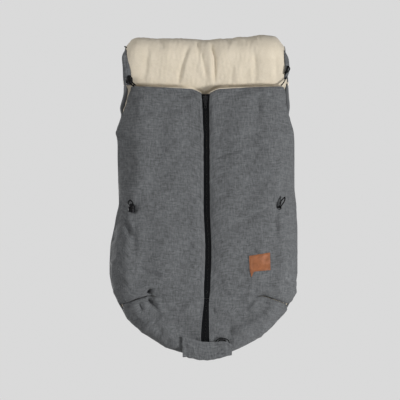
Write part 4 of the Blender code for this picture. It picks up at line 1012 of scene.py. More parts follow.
def build_front(side, label, cloth, fleece, settings):
    """One half of the front: its padded shell and its fleece lining, which is given extra depth along the
    fold line.
    """
    coarse, _ = front_surface(side, *COARSE_FRONT, settings.crown)
    swell = settle_cloth(coarse, settings.slack, settings.filling_pressure, SWELL_CAP)
    points, even_x = front_surface(side, *FINE_FRONT, settings.crown)
    points = points + finer(softened(swell, 1), *points.shape[:2])
    normals = grid_normals(points)
    relief = front_relief(points, settings.crease_share)
    outer = points + normals * hardware_room(points, relief)[:, :, None]
    slot_end = side < 0
    shell = rolled(outer, 1, slot_end, SLOT_ROLL)
    shell = rolled(shell, 1, not slot_end, SIDE_ROLL, math.pi / 2)
    shell = rolled(shell, 0, False, MOUTH_ROLL)
    shell = tucked(rolled(shell, 0, True, SEAM_ROLL, math.pi / 2, crisp=True), True)
    panel = cloth_grid("front_panel_" + label, shell, cloth, middle=-1 if slot_end else 0)
    drawn = points + normals * np.minimum(relief, 0.0)[:, :, None] * LINING_DRAW
    to_seam = run_lengths(points[::-1], 0)[::-1]
    drawn[:, :, 1] += SEAM_SINK * bell(to_seam, SEAM_SINK_REACH)
    lining = build_front_lining(side, label, drawn, normals, even_x, fleece)
    nodes = ("side_shell_", "side_wadding_", "lapel_shell_", "lapel_wadding_")
    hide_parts(*[node + label for node in nodes])
    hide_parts("side_lining_" + label, "lapel_lining_" + label)
    for piece, slot in ((panel, "shell_cloth"), (lining, "fleece")):
        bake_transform(piece)
    return outer


def sew_front(side, label, outer, seam_thread):
    """Topstitching of one half of the front, along the zip, the mouth and the foot seam."""
    near = -3 if side < 0 else 2
    ways = ((slice(3, -2), near), (3, slice(2, -3)), (-3, slice(2, -2)))
    lines = seam_lines(outer, grid_normals(outer), ways)
    sewing = stitches("front_stitches_" + label, lines, seam_thread)
    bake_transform(sewing)


def edge_rise(steps):
    """Share of the relief at a number of grid steps from a sewn edge."""
    return smooth(steps / 3.0 + 0.15)


def edge_fade(shape):
    """Less relief right at a panel's sewn edges."""
    rows, columns = (edge_rise(from_ends(count)) for count in shape)
    return rows[:, None] * columns[None, :]


def build_front_lining(side, label, points, normals, even_x, fleece):
    """Fleece behind one half of the front, rolled over the mouth's edge as a pale lip."""
    x, z = points[:, :, 0], points[:, :, 2]
    to_edge = np.minimum(front_half(z) - even_x, even_x - SLOT_HALF)
    to_edge = np.minimum(to_edge, to_either_end(run_lengths(points, 0), 0))
    depth = LAYERS + wadding(FRONT_WADDING, to_edge)
    fold_x = FOLD_POINT.x + (z - FOLD_POINT.z) * FOLD_AXIS.x / FOLD_AXIS.z
    depth = depth + FOLD_ROOM * bell(even_x - fold_x, FOLD_ROOM_REACH)
    depth = depth - swells(x, z, PILE_WAVES) * smooth(to_edge / PILE_EDGE)
    inner = points - normals * depth[:, :, None]
    up = inner[:1] + (inner[:1] - inner[1:2]) * LIP_STEP
    inner = rolled(np.concatenate([up, inner]), 0, False, -LIP_ROLL, steps=6)
    slot_end = side < 0
    inner = rolled(inner, 1, slot_end, -SEAM_ROLL, math.pi / 2)
    return cloth_grid("front_lining_" + label, inner, fleece, back=True,
                      middle=-1 if slot_end else 0)


# Foot pocket

FOOT_ROWS = 46
FOOT_FLAT = 36
FOOT_ROUND = 18
FOOT_SWELL = 0.0018
FOOT_SWELL_DROP = 0.035
FOOT_SWELL_REACH = 0.03
SLOT_FADE = 0.012
FOOT_WAVES = (
    (0.002, 0.07, 23, 1.0, 1.0), (0.0011, 0.028, 25, 0.7, 1.0), (0.0004, 0.013, 27, 0.8, 1.0),
)
CLOSING_ROWS = 5


def foot_places():
    """Even places of the right half of the foot pocket, from the foot seam down to its floor."""
    first = math.asin((HIP_Z - FOOT_SEAM_Z) / FOOT_HEIGHT)
    angle = first + (FLOOR_ANGLE - first) * np.linspace(0.0, 1.0, FOOT_ROWS)
    nominal = (HIP_Z - FOOT_HEIGHT * np.sin(angle))[:, None]
    drop = smooth((nominal - TOE_Z) / (FOOT_SEAM_Z - TOE_Z))
    z = nominal * np.ones((1, FOOT_FLAT + FOOT_ROUND + 1))
    for _ in range(PLACE_ROUNDS):
        slot = opening_half(z[:, :1]) - SLOT_ROLL
        x = across_places(slot, foot_half(z), FOOT_FLAT, FOOT_ROUND)
        z = nominal + (sewn_seam_z(x) - FOOT_SEAM_Z) * drop
    return x, z, nominal[:, 0]


def foot_surface():
    """Points of the whole hung foot pocket, its even places and the row where the zip ends."""
    x, z, nominal = foot_places()
    half = foot_half(z)
    ahead = -SEAM_Y - hung_cover_y(x, z)
    left, right = (np.stack([hung_x(side * x, z, half), ahead, z], axis=2) for side in (-1, 1))
    points = np.concatenate([left[:, ::-1], right], axis=1)
    even_x = np.concatenate([x[:, ::-1], x], axis=1)
    closing = np.repeat(points[-1:], CLOSING_ROWS, axis=0)
    share = np.arange(1, CLOSING_ROWS + 1)[:, None] / CLOSING_ROWS
    closing[:, :, 1] += (-SEAM_Y - closing[:, :, 1]) * share
    even_x = np.concatenate([even_x, np.repeat(even_x[-1:], CLOSING_ROWS, axis=0)])
    return np.concatenate([points, closing]), even_x, int(np.argmin(np.abs(nominal - TOE_Z)))


def foot_relief(points, fade, crease_share):
    """Creases and soft swells of the foot pocket's cloth."""
    x, z = points[:, :, 0], points[:, :, 2]
    relief = crease_relief(*as_photographed(points), FOOT_CREASES) * crease_share
    relief += swells(x, z, FOOT_WAVES)
    relief += FOOT_SWELL * bell(z - sewn_seam_z(x) + FOOT_SWELL_DROP, FOOT_SWELL_REACH)
    return relief * fade * smooth((z - BOTTOM_Z) / FOOT_SWELL_REACH) + seam_valley(x, z)


def build_foot(cloth, fleece, seam_thread, settings):
    """Foot pocket: padded shell and fleece lining, open along the zip down to its end."""
    points, even_x, slot_row = foot_surface()
    normals = grid_normals(points)
    middle = points.shape[1] // 2 - 1
    fade = np.minimum(edge_rise(np.arange(points.shape[0]))[:, None],
                      smooth((even_x - SLOT_HALF) / SLOT_FADE))
    relief = foot_relief(points, fade, settings.crease_share)
    outer = points + normals * relief[:, :, None]
    shell = tucked(rolled(outer, 0, False, SEAM_ROLL, math.pi / 2, crisp=True), False)
    added = shell.shape[0] - outer.shape[0]
    present = all_cells(shell)
    present[:slot_row + added, middle] = False
    pocket = cloth_grid("foot_pocket", shell, cloth, present, middle=middle)
    z, down = points[:, :, 2], run_lengths(points, 0)
    to_edge = np.minimum(even_x - SLOT_HALF, foot_half(z) - even_x)
    to_edge = np.minimum(np.minimum(to_edge, down), z - FOOT_FLOOR_Z + GAP)
    depth = LAYERS + wadding(FRONT_WADDING, to_edge) - np.minimum(relief, 0.0) * LINING_DRAW
    inner = points - normals * depth[:, :, None]
    inner[:, :, 1] += SEAM_SINK * bell(down, SEAM_SINK_REACH)
    inner[:, :, 1] = np.minimum(inner[:, :, 1], -SEAM_Y)
    inner[:, :, 2] = np.maximum(inner[:, :, 2], FOOT_FLOOR_Z + SHELL + LINING)
    present = present[added:]
    lining = cloth_grid("foot_lining", inner, fleece, present, middle=middle, back=True)
    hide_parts("foot_shell", "foot_wadding")
    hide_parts("foot_lining")
    for piece, slot in ((pocket, "shell_cloth"), (lining, "fleece")):
        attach(piece, "bag")
    ways = ((2, slice(2, middle - 1)), (2, slice(middle + 3, -2)),
            (slice(1, slot_row), middle - 1), (slice(1, slot_row), middle + 2))
    sew("foot_stitches", seam_lines(outer, grid_normals(outer), ways), seam_thread)


# Back, hood and tail

BACK_OUTLINE = BACK_EDGE + tuple(row for row in OUTLINE if row[0] < BACK_EDGE[-1][0])
FLEECE_INSET = 0.0036
ARC_RADIUS = 0.0503
ARC_ROWS = 40
TAIL_SHEET_ROWS = 22
BACK_COLUMN = 0.002
BACK_FIXED_HALF = 0.15
BACK_EDGE_COLUMNS = 20
SLOTS = (
    ("shoulder_slot_binding_left", -0.072, -0.052, -0.27, -0.15),
    ("shoulder_slot_binding_right", 0.052, 0.072, -0.27, -0.15),
    ("crotch_slot_binding", -0.03, 0.03, -0.603, -0.585),
)
BACK_BANDS = (
    (FOOT_FLOOR_Z, -0.735, 7), (-0.735, -0.603, 19), (-0.603, -0.585, 5), (-0.585, -0.27, 39),
    (-0.27, -0.15, 17), (-0.15, HOOD_RISE_Z, 27), (HOOD_RISE_Z, 0.0, 30),
)
BACK_FADE = 0.016
BACK_ROLL = 0.0012
REAR_WAVES = ((0.0005, 0.055, 41, 1.0, 1.0), (0.00025, 0.02, 43, 1.0, 1.0))
REAR_WAVE_LIMITS = (-0.0004, 0.0008)
FLEECE_ROLL = 0.0022
FLEECE_INSET_REACH = 0.05
FLEECE_WAVES = ((0.0006, 0.03, 33, 1.0, 0.6), (0.0003, 0.013, 35, 1.0, 1.0))
BELOW_MOUTH_Z = -0.06
BELOW_MOUTH_RUN = 0.03
MOUTH_ROOM = 0.003
HOOD_START = 0.115
HOOD_START_RUN = 0.03
HOOD_WAVES = ((0.0013, 0.075, 31, 1.0, 0.45),)
HOOD_CREST_POWER = 1.2
HOOD_TUCK = ((-0.0045, 0.0, 0.0045), (0.002, 0.017, 0.012))
HOOD_TUCK_HALF = 0.188
HOOD_TUCK_FADE = 0.02
HOOD_CREASES = (
    (((-0.0389, 0.041), (-0.056, -0.01), (-0.0719, -0.076)), 0.0046, 0.0058, 0.0024),
    (((-0.0185, 0.06), (-0.016, -0.018)), 0.0038, 0.0045, 0.0014),
    (((-0.0135, 0.031), (-0.006, -0.012), (0.0043, -0.056)), 0.004, 0.0048, -0.0016),
    (((0.0109, 0.052), (0.0221, 0.001), (0.0226, -0.04), (0.0221, -0.074)), 0.0078, 0.005, -0.004),
    (((-0.145, 0.035), (-0.148, -0.015), (-0.156, -0.068)), 0.0034, 0.0065, 0.0014),
    (((0.123, 0.02), (0.1262, -0.01), (0.124, -0.072)), 0.0034, 0.0065, -0.0014),
    (((0.169, 0.025), (0.175, -0.01), (0.1758, -0.064)), 0.0036, 0.0055, -0.0018),
    (((0.066, 0.08), (0.07, 0.064), (0.092, 0.03)), 0.0026, 0.007, 0.0008),
    (((-0.118, 0.06), (-0.105, 0.02)), 0.0018, 0.008, 0.0006),
    (((0.035, 0.085), (0.056, 0.056), (0.06, 0.03)), 0.0026, 0.006, -0.001),
    (((0.07, -0.01), (0.068, -0.07)), 0.002, 0.0075, 0.0008),
)
HOOD_CREST = (
    (-0.205, 0.0), (-0.198, 0.0045), (-0.17, 0.007), (-0.13, 0.0062), (-0.07, 0.0048), (-0.02, 0.0038),
    (0.03, 0.004), (0.06, 0.0075), (0.1, 0.0105), (0.15, 0.013), (0.18, 0.0125), (0.196, 0.007),
    (0.205, 0.0),
)
TUCK_RISE = 0.005


def back_layers(x, z):
    """How far the back's shell is set forward at a place, and the wadding that is left there."""
    hood = smooth((z - HOOD_RISE_Z) / -HOOD_RISE_Z)
    full = BACK_WADDING + (HOOD_WADDING - BACK_WADDING) * hood
    to_edge = back_half(z) - np.abs(x)
    to_edge = np.where(z < HIP_Z, np.minimum(to_edge, z - FOOT_FLOOR_Z), to_edge)
    left = wadding(full, to_edge)
    return (full - left) * (1.0 - hood), left


def tail_half(z):
    """Half width of the tail behind the rail, with its rounded lower corners."""
    into = np.clip((-z - (TAIL_DROP - TAIL_CORNER)) / TAIL_CORNER, 0.0, 1.0)
    return HOOD_HALF - TAIL_CORNER * (1.0 - np.sqrt(1.0 - into * into))


def back_columns(half):
    """Even places across the back: fixed ones in the middle, then closer ones to its edge."""
    steps = int(round(2 * BACK_FIXED_HALF / BACK_COLUMN))
    fixed = np.linspace(-BACK_FIXED_HALF, BACK_FIXED_HALF, steps + 1)
    turn = np.sin(np.linspace(0.0, math.pi / 2.0, BACK_EDGE_COLUMNS + 1)[1:])
    fixed = np.minimum(BACK_FIXED_HALF, half[:, None] * 0.8) / BACK_FIXED_HALF * fixed[None, :]
    last = fixed[:, -1:]
    outer = last + (half[:, None] - last) * turn[None, :]
    return np.concatenate([-outer[:, ::-1], fixed, outer], axis=1)


def back_sheet():
    """Stations of the whole back sheet: base point, outward, wadding, even x and run."""
    low = np.concatenate([np.linspace(start, end, count)[:-1] for start, end, count in BACK_BANDS])
    low_x = back_columns(back_half(low))
    low_z = low[:, None] * np.ones_like(low_x)
    forward, left = back_layers(low_x, low_z)
    base = np.stack([hung_back_x(low_x, low_z), -SHELL_FACE - forward, low_z], axis=2)
    angle = np.linspace(0.0, math.pi, ARC_ROWS + 1)
    arc_x = back_columns(np.full(ARC_ROWS + 1, HOOD_HALF))
    arc_out = np.stack([np.zeros_like(arc_x), -np.cos(angle)[:, None] * np.ones_like(arc_x),
                        np.sin(angle)[:, None] * np.ones_like(arc_x)], axis=2)
    arc_base = arc_out * SHELL_FACE
    arc_base[:, :, 0] += hung_back_x(arc_x, np.zeros_like(arc_x))
    tail = -TAIL_DROP * np.linspace(0.0, 1.0, TAIL_SHEET_ROWS + 1)[1:]
    straight = TAIL_DROP - TAIL_CORNER
    corner = -straight - TAIL_CORNER * np.sin((-tail - straight) / TAIL_CORNER * math.pi / 2)
    tail = np.where(tail < -straight, corner, tail)
    tail_x = back_columns(tail_half(tail))
    tail_z = tail[:, None] * np.ones_like(tail_x)
    tail_base = np.stack([tail_x, np.full_like(tail_x, SHELL_FACE), tail_z], axis=2)
    tail_edge = np.minimum(tail_half(tail_z) - np.abs(tail_x), tail_z + TAIL_DROP)
    run = np.concatenate([low, ARC_RADIUS * angle, math.pi * ARC_RADIUS - tail])
    return (np.concatenate([base, arc_base, tail_base]),
            np.concatenate([np.broadcast_to(AHEAD, base.shape), arc_out,
                            np.broadcast_to(BEHIND, tail_base.shape)]),
            np.concatenate([left, wadding(HOOD_WADDING, HOOD_HALF - np.abs(arc_x)),
                            wadding(HOOD_WADDING, tail_edge)]),
            np.concatenate([low_x, arc_x, tail_x]),
            run[:, None] * np.ones((1, low_x.shape[1])))


def hung_back_x(x, z):
    """Sideways place of the hung back; its middle stays even and only its edges move."""
    half = back_half(z)
    left, right = -table_value(BACK_OUTLINE, 1, z), table_value(BACK_OUTLINE, 2, z)
    scale = np.where(x < 0.0, left, right) / half
    return x * (1.0 + (scale - 1.0) * smooth(np.abs(x) / half * 2.5 - 1.5))


def in_slots(x, z, out):
    """Which cells of the sheet lie in a harness slot."""
    found = np.zeros(x.shape, bool)
    for _, left, right, low, high in SLOTS:
        found |= (x > left) & (x < right) & (z > low) & (z < high) & (out < 0.0)
    return found


def cell_middles(grid):
    return (grid[:-1, :-1] + grid[1:, :-1] + grid[1:, 1:] + grid[:-1, 1:]) / 4.0


def hood_relief(x, run):
    """Folds and soft swells of the fleece; the hood's folds follow its hang over the rail."""
    relief = crease_relief(x, run, HOOD_CREASES)
    angle = np.clip(run / ARC_RADIUS, 0.0, math.pi)
    relief += np.interp(x, *zip(*HOOD_CREST)) * np.sin(angle) ** HOOD_CREST_POWER
    over = run - mouth_z(x) - TUCK_RISE
    folds = sum(height * bell(over - rise, reach) for height, rise, reach in HOOD_TUCK)
    relief += folds * smooth((HOOD_TUCK_HALF - np.abs(x)) / HOOD_TUCK_FADE)
    relief += swells(x, run, HOOD_WAVES) * smooth((run + HOOD_START) / HOOD_START_RUN)
    return relief + swells(x, run, FLEECE_WAVES)


def build_back(cloth, fleece):
    """Back panel with the hood: one shell sheet and one fleece sheet, turning over the rail."""
    base, out, left, even_x, run = back_sheet()
    to_edge = np.minimum(run - run[0, 0], run[-1, 0] - run)
    side_edge = np.abs(even_x[:, :1]) - np.abs(even_x)
    fade = smooth(np.minimum(to_edge, side_edge) / BACK_FADE)
    in_slot = in_slots(*[cell_middles(grid) for grid in (even_x, base[:, :, 2], out[:, :, 1])])
    waves = np.clip(swells(even_x, run, REAR_WAVES), *REAR_WAVE_LIMITS) * fade
    relief = hood_relief(even_x, run) * fade
    rear = base + out * waves[:, :, None]
    front = base + out * (LAYERS + left + relief)[:, :, None]
    front[:, :, 1] += mouth_room(front, run)
    inset = below_mouth(run) * smooth(1.0 - side_edge / FLEECE_INSET_REACH)
    front[:, :, 0] -= np.sign(even_x) * FLEECE_INSET * inset
    pieces = []
    for name, sheet, radius, turn, material, behind in (
            ("back_panel", rear, BACK_ROLL, math.pi / 2, cloth, True),
            ("back_fleece", front, FLEECE_ROLL, math.pi * 0.6, fleece, False)):
        grid = rolled(rolled(sheet[::-1], 1, False, radius, turn), 1, True, radius, turn)
        added = (grid.shape[1] - sheet.shape[1]) // 2
        present = all_cells(grid)
        present[:, added:-added] = ~in_slot[::-1]
        pieces.append(cloth_grid(name, grid, material, present, middle=grid.shape[1] // 2, back=behind))
    shell, inside = pieces
    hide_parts("back_shell", "back_wadding", "hood_saddle_shell", "hood_saddle_wadding",
                "hood_tail_shell", "hood_tail_wadding")
    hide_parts("back_lining", "hood_saddle_lining", "hood_tail_lining")
    for piece, slot in ((shell, "shell_cloth"), (inside, "fleece")):
        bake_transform(piece)


def below_mouth(run):
    """1 well below the mouth, 0 above it."""
    return smooth((BELOW_MOUTH_Z - run) / BELOW_MOUTH_RUN) * (run < 0.0)


def mouth_room(front, run):
    """Shift of the fleece so that it stays behind the front's lining below the mouth."""
    return np.clip(-SEAM_Y - front[:, :, 1], 0.0, MOUTH_ROOM) * below_mouth(run)


# Shared forms

def padded_sheet(name, points, rise, sunk, material):
    """Close a sheet: its grid raised along its normals, and lowered behind, with a rim between."""
    rows, columns = points.shape[:2]
    count = rows * columns
    normals = grid_normals(points)
    outer = points + normals * rise[:, :, None]
    inner = points - normals * sunk[:, :, None]
    faces = grid_faces(rows, columns).reshape(-1, 4)
    number = np.arange(count).reshape(rows, columns)
    rim = np.concatenate([number[0, :], number[1:, -1], number[-1, -2::-1], number[-2:0:-1, 0]])
    after = np.roll(rim, -1)
    sides = np.stack([after, rim, rim + count, after + count], axis=1)
    faces = np.concatenate([faces, faces[:, ::-1] + count, sides])
    vertices = np.concatenate([outer.reshape(-1, 3), inner.reshape(-1, 3)])
    place = np.stack([run_lengths(outer, 1), -run_lengths(outer, 0)], axis=2).reshape(-1, 2)
    place = np.concatenate([place, place])
    return uv_mesh(name, vertices, faces, place, material), outer, normals


def swept_loops(name, loops, material, closed=False, smooth_angle=50.0):
    """Join loops of points, one after the other, into a closed skin."""
    vertices = [point for loop in loops for point in loop]
    faces = tube_faces(0, len(loops), len(loops[0]), closed)
    return solid_mesh(name, vertices, faces, material, smooth_angle)


def surface_under(piece):
    """Search tree over a piece's faces, for placing others on it."""
    mesh = piece.data
    return BVHTree.FromPolygons([v.co for v in mesh.vertices], [p.vertices for p in mesh.polygons])


def on_front(tree, x, z, lift):
    """Place just over the front's cloth at a place seen from ahead."""
    eye = Vector((CAMERA_X, -SEAM_Y - CAMERA_AWAY, CAMERA_Z))
    place, normal, _, _ = tree.ray_cast(eye, Vector((x, -SEAM_Y, z)) - eye)
    if place is None:
        raise RuntimeError("there is no front cloth at %.3f, %.3f" % (x, z))
    return place + (normal if normal.y < 0.0 else -normal) * lift


# Zip

TAPE_INWARD = 0.0019
TAPE_EDGE = 0.0001
TAPE_COVERED = 0.0012
TOOTH_HALF_DEPTH = 0.0011
TOOTH_INSET = 0.00022
TAPE_ROW = 0.004
TAPE_COLUMNS = 7
TAPE_LEAN = 0.0016
TAPE_LEAN_RUN = 0.012
TAPE_WAVES = ((0.00012, 0.022, 51, 8.0, 1.0),)
ZIP_TOP_DROP = 0.0125
ZIP_DIP = 0.003
ZIP_DIP_REACH = 0.024
TOOTH_NECK = 0.0013
TOOTH_OUTLINE = (
    (0.0036, 0.0007), (0.0013, 0.0007), (0.0006, 0.00048), (-0.0004, 0.00066), (-0.00095, 0.00046),
    (-0.00095, -0.00046), (-0.0004, -0.00066), (0.0006, -0.00048), (0.0013, -0.0007), (0.0036, -0.0007),
)
TEETH_TOP_Z = -0.1068
TEETH_JOIN = 0.0006
FOOT_TEETH_LOW_Z = -0.7285


def zip_depth(z):
    """Distance of the zip's own plane ahead of the side seam."""
    dip = ZIP_DIP * bell(z - FOOT_SEAM_Z, ZIP_DIP_REACH)
    return np.where(z > FOOT_SEAM_Z, front_depth(z), toe_depth(z, FOOT_SEAM_Z)) - TAPE_INWARD - dip


def zip_tape(name, side, high_z, low_z, material):
    """One side of the tape, with a slight ripple; it leans back a little above the slider."""
    rows = int((high_z - low_z) / TAPE_ROW)
    z = np.linspace(high_z, low_z, rows)[:, None] * np.ones((1, TAPE_COLUMNS))
    outer = opening_half(z[:, :1]) + TAPE_COVERED
    x = TAPE_EDGE + (outer - TAPE_EDGE) * np.linspace(0, 1, TAPE_COLUMNS)
    y = -SEAM_Y - zip_depth(z) + swells(x, z, TAPE_WAVES)
    y -= TAPE_LEAN * smooth((z - TEETH_TOP_Z) / TAPE_LEAN_RUN)
    points = np.stack([side * x + zip_sway(z), y, z], axis=2)
    return cloth_grid(name, facing_right(points, side), material)


def zip_teeth(name, side, high_z, low_z, pitch, material):
    """One row of moulded teeth down a straight run of the zip."""
    phase = pitch / 2 if side > 0 else 0.0
    outline = np.array(TOOTH_OUTLINE)
    inset = outline.copy()
    inset[:, 0] -= np.sign(inset[:, 0] - TOOTH_NECK) * TOOTH_INSET
    inset[:, 1] -= np.sign(inset[:, 1]) * TOOTH_INSET
    levels = ((-TOOTH_HALF_DEPTH, inset), (-TOOTH_HALF_DEPTH + TOOTH_INSET, outline),
              (TOOTH_HALF_DEPTH - TOOTH_INSET, outline), (TOOTH_HALF_DEPTH, inset))
    vertices, faces = [], []
    for index in range(int((high_z - low_z - phase) / pitch)):
        z = high_z - phase - index * pitch - pitch / 2
        sway = float(zip_sway(z))
        middle = -SEAM_Y - float(zip_depth(np.array(z)))
        faces += tube_faces(len(vertices), len(levels), len(outline))
        for depth, shape in levels:
            vertices += [(side * x + sway, middle + depth, z + up) for x, up in shape]
    return solid_mesh(name, vertices, faces, material, 35.0)


def build_zip(tape, teeth, pitch):
    """Tapes and interlocked teeth of the front and of the foot pocket."""
    top = MOUTH_Z - ZIP_TOP_DROP
    low = FOOT_SEAM_Z + TEETH_JOIN
    foot_top = FOOT_SEAM_Z - TEETH_JOIN
    made = []
    for side, label in SIDES:
        strip = zip_tape("zip_tape_cloth_" + label, side, top, low, tape)
        made.append((strip, "zip_tape_" + label, "zip_tape", "lapel_" + label))
        row = zip_teeth("zip_chain_" + label, side, TEETH_TOP_Z, low, pitch, teeth)
        made.append((row, "zip_teeth_" + label, "zip_teeth", "lapel_" + label))
        row = zip_teeth("foot_chain_" + label, side, foot_top, FOOT_TEETH_LOW_Z, pitch, teeth)
        made.append((row, "foot_teeth_" + label, "zip_teeth", "bag"))
    strips = [zip_tape("foot_tape_cloth", side, low - GAP, TOE_Z, tape) for side in (-1, 1)]
    made.append((join_pieces("foot_tape_cloth", strips), "foot_tape", "zip_tape", "bag"))
    for piece, node, slot, body in made:
        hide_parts(node)
        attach(piece, body)


# Foot flap

FLAP_DEPTH = 0.056
FLAP_OFFSET = 0.006
FLAP_THICK = 0.0024
FLAP_ROUND = 0.0075
FOOT_UNDERSIDE = (
    (0.0, -0.757), (0.025, -0.7555), (0.048, -0.75), (0.064, -0.745), (0.0983, -0.73),
)
FLAP_COLUMNS = 64
FLAP_FRONT_ROWS = 26
FLAP_ROUND_ROWS = 8
FLAP_ROOT_ROWS = 11
FLAP_ROOT_SINK = 0.001
FLAP_BOW = 0.0022
FLAP_CURL = 0.0016
FLAP_CURL_RATE = 6.0
FLAP_HEM = 0.0022
FLAP_RIM_SHARE = 0.35
FLAP_SEAM_IN = 0.0105
FLAP_VALLEY = 0.0011
FLAP_VALLEY_REACH = 0.0016
FLAP_PUFF = 0.0011
FLAP_PUFF_START = 0.011
FLAP_PUFF_RUN = 0.012
FLAP_WAVES = ((0.0008, 0.022, 61, 1.0, 1.0),)
FLAP_TOP = (
    (-0.0578, -0.7085), (-0.054, -0.7078), (-0.03, -0.7135), (-0.0071, -0.7196), (0.01, -0.7204),
    (0.0323, -0.7188), (0.053, -0.7178), (0.0602, -0.7215), (0.0676, -0.729),
)
FLAP_LOW = (
    (-0.0578, -0.76), (-0.048, -0.7592), (-0.02, -0.765), (0.001, -0.7664), (0.02, -0.7648),
    (0.05, -0.758), (0.0676, -0.7545),
)


FLAP_CREASES = (
    (((0.024, -0.747), (0.033, -0.738), (0.044, -0.727)), 0.0024, 0.0028, 0.0006),
    (((0.033, -0.75), (0.042, -0.741), (0.05, -0.733)), 0.002, 0.0026, 0.0005),
    (((0.008, -0.753), (0.023, -0.746), (0.034, -0.741)), 0.0012, 0.003, 0.0004),
    (((-0.04, -0.73), (-0.025, -0.738), (-0.015, -0.75)), 0.001, 0.0035, 0.0003),
)


def flap_edge(table):
    """An edge read off the photograph, at its place on the flap."""
    return [on_object(x, z, FLAP_DEPTH) for x, z in table]


def flap_grid():
    """Middle surface of the flap: down over the zip's end, round the toe and back to its seam."""
    top_edge, low_edge = flap_edge(FLAP_TOP), flap_edge(FLAP_LOW)
    x = np.linspace(top_edge[0][0], top_edge[-1][0], FLAP_COLUMNS)
    top, low = np.interp(x, *zip(*top_edge)), np.interp(x, *zip(*low_edge))
    rows = []
    for share in np.linspace(0.0, 1.0, FLAP_FRONT_ROWS):
        z = top + (low + FLAP_ROUND - top) * share
        depth = toe_depth(z, FOOT_SEAM_Z) + SEAM_Y + FLAP_OFFSET + FLAP_THICK / 2
        across = np.sin(math.pi * (x - x[0]) / (x[-1] - x[0]))
        bow = FLAP_BOW * math.sin(math.pi * share) * across
        curl = FLAP_CURL * smooth(1.0 - share * FLAP_CURL_RATE)
        rows.append(np.stack([x, -depth - bow + curl, z], axis=1))
    toe = -rows[-1][:, 1]
    for turn in np.linspace(0.0, math.pi / 2.0, FLAP_ROUND_ROWS + 1)[1:]:
        rows.append(np.stack([x, -toe + FLAP_ROUND * (1.0 - math.cos(turn)),
                              low + FLAP_ROUND * (1.0 - math.sin(turn))], axis=1))
    seat = np.interp(np.abs(x), *zip(*FOOT_UNDERSIDE)) - FLAP_THICK
    under = rows[-1][:, 1]
    for share in np.linspace(0.0, 1.0, FLAP_ROOT_ROWS + 1)[1:]:
        y = under + (-SEAM_Y + FLAP_ROOT_SINK - under) * share
        rows.append(np.stack([x, y, low + (np.maximum(seat, low) - low) * smooth(share)], axis=1))
    return np.stack(rows)


def build_flap(cloth, seam_thread):
    """Padded flap over the zip's end, with a hem all round."""
    points = flap_grid()
    x, z = points[:, :, 0], points[:, :, 2]
    to_edge = np.minimum(to_either_end(run_lengths(points, 1), 1), run_lengths(points, 0))
    hem = smooth(to_edge / FLAP_HEM)
    sunk = (FLAP_THICK / 2) * (FLAP_RIM_SHARE + (1.0 - FLAP_RIM_SHARE) * hem)
    rise = sunk - FLAP_VALLEY * bell(to_edge - FLAP_SEAM_IN, FLAP_VALLEY_REACH)
    rise = rise + FLAP_PUFF * smooth((to_edge - FLAP_PUFF_START) / FLAP_PUFF_RUN)
    rise = rise + swells(x, z, FLAP_WAVES) * hem + crease_relief(x, z, FLAP_CREASES)
    flap, outer, normals = padded_sheet("zip_end_flap", points, rise, sunk, cloth)
    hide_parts("foot_flap")
    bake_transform(flap)
    ways = ((slice(2, 34), 5), (slice(2, 34), -6), (5, slice(5, -5)), (24, slice(5, -5)))
    sew("flap_stitches", seam_lines(outer, normals, ways), seam_thread, body="foot_flap")


# Edges of the back and of the hood

SEAM_MIDDLE_Y = -0.0428
SEAM_TOP_Z = -0.064
SEAM_INSET = 0.0012
SEAM_INNER = 0.003
SEAM_OUTER = 0.0018
SEAM_LEAST = 0.0002
SEAM_FRONT = 0.0032
SEAM_REAR = 0.0036
SEAM_FREE_LOW_Z = -0.14
SEAM_FREE_HIGH_Z = -0.085
SEAM_FREE_RUN = 0.02
SEAM_FREE_REACH = 0.006
SEAM_FREE_FRONT = 0.0006
SEAM_RIPPLES = ((0.0005, 0.9, 0.0), (0.0004, 0.37, 1.0))
HOOD_EDGE_Z = -0.06
HOOD_EDGE_STEP = 0.0004
HOOD_EDGE_SIDE_X = 0.16
HOOD_EDGE_INNER = 0.0034
HOOD_EDGE_OUTER = 0.0016
HOOD_EDGE_HALF = 0.0031
HOOD_EDGE_RIPPLES = ((0.0003, 0.8, 0.0),)


def hood_point(x, run, lift):
    """Place over the hood's fleece at a sideways place and a run up from the rail's level."""
    x, run = np.broadcast_arrays(np.asarray(x, float), np.asarray(run, float))
    above = run > 0.0
    forward, left = back_layers(x, np.minimum(run, 0.0))
    left = np.where(above, wadding(HOOD_WADDING, HOOD_HALF - np.abs(x)), left)
    forward = np.where(above, 0.0, forward)
    angle = np.maximum(run, 0.0) / ARC_RADIUS
    reach = SHELL_FACE + forward + LAYERS + left + lift
    return np.stack([x, -reach * np.cos(angle), np.where(above, reach * np.sin(angle), run)], axis=-1)


def edge_loop(middle, away, ahead, inner, outer, front, rear, sides=16):
    """Loop of a rolled edge: flat towards the cloth, round away from it."""
    loop = []
    for turn in full_turn(sides):
        across, up = math.cos(turn), math.sin(turn)
        reach = outer if across > 0.0 else inner
        height = front if up > 0.0 else rear
        loop.append(middle + away * (across * reach) + ahead * (up * height))
    return loop


def outline_path():
    """Side seam: down the left edge, round the foot and up the right edge."""
    angle = np.linspace(0.0, FLOOR_ANGLE, 46)[1:]
    z = np.concatenate([np.linspace(SEAM_TOP_Z, HIP_Z, 70), HIP_Z - FOOT_HEIGHT * np.sin(angle)])
    left, right = (np.stack([hung_back_x(side * back_half(z), z), z], axis=1) for side in (-1, 1))
    across = np.linspace(left[-1, 0], right[-1, 0], 26)[1:-1]
    floor = np.stack([across, np.full_like(across, z[-1])], axis=1)
    return np.concatenate([left, floor, right[::-1]])


def ripple(index, waves):
    """Small unevenness of a rolled edge at one of its stations."""
    return sum(height * math.sin(index * rate + phase) for height, rate, phase in waves)


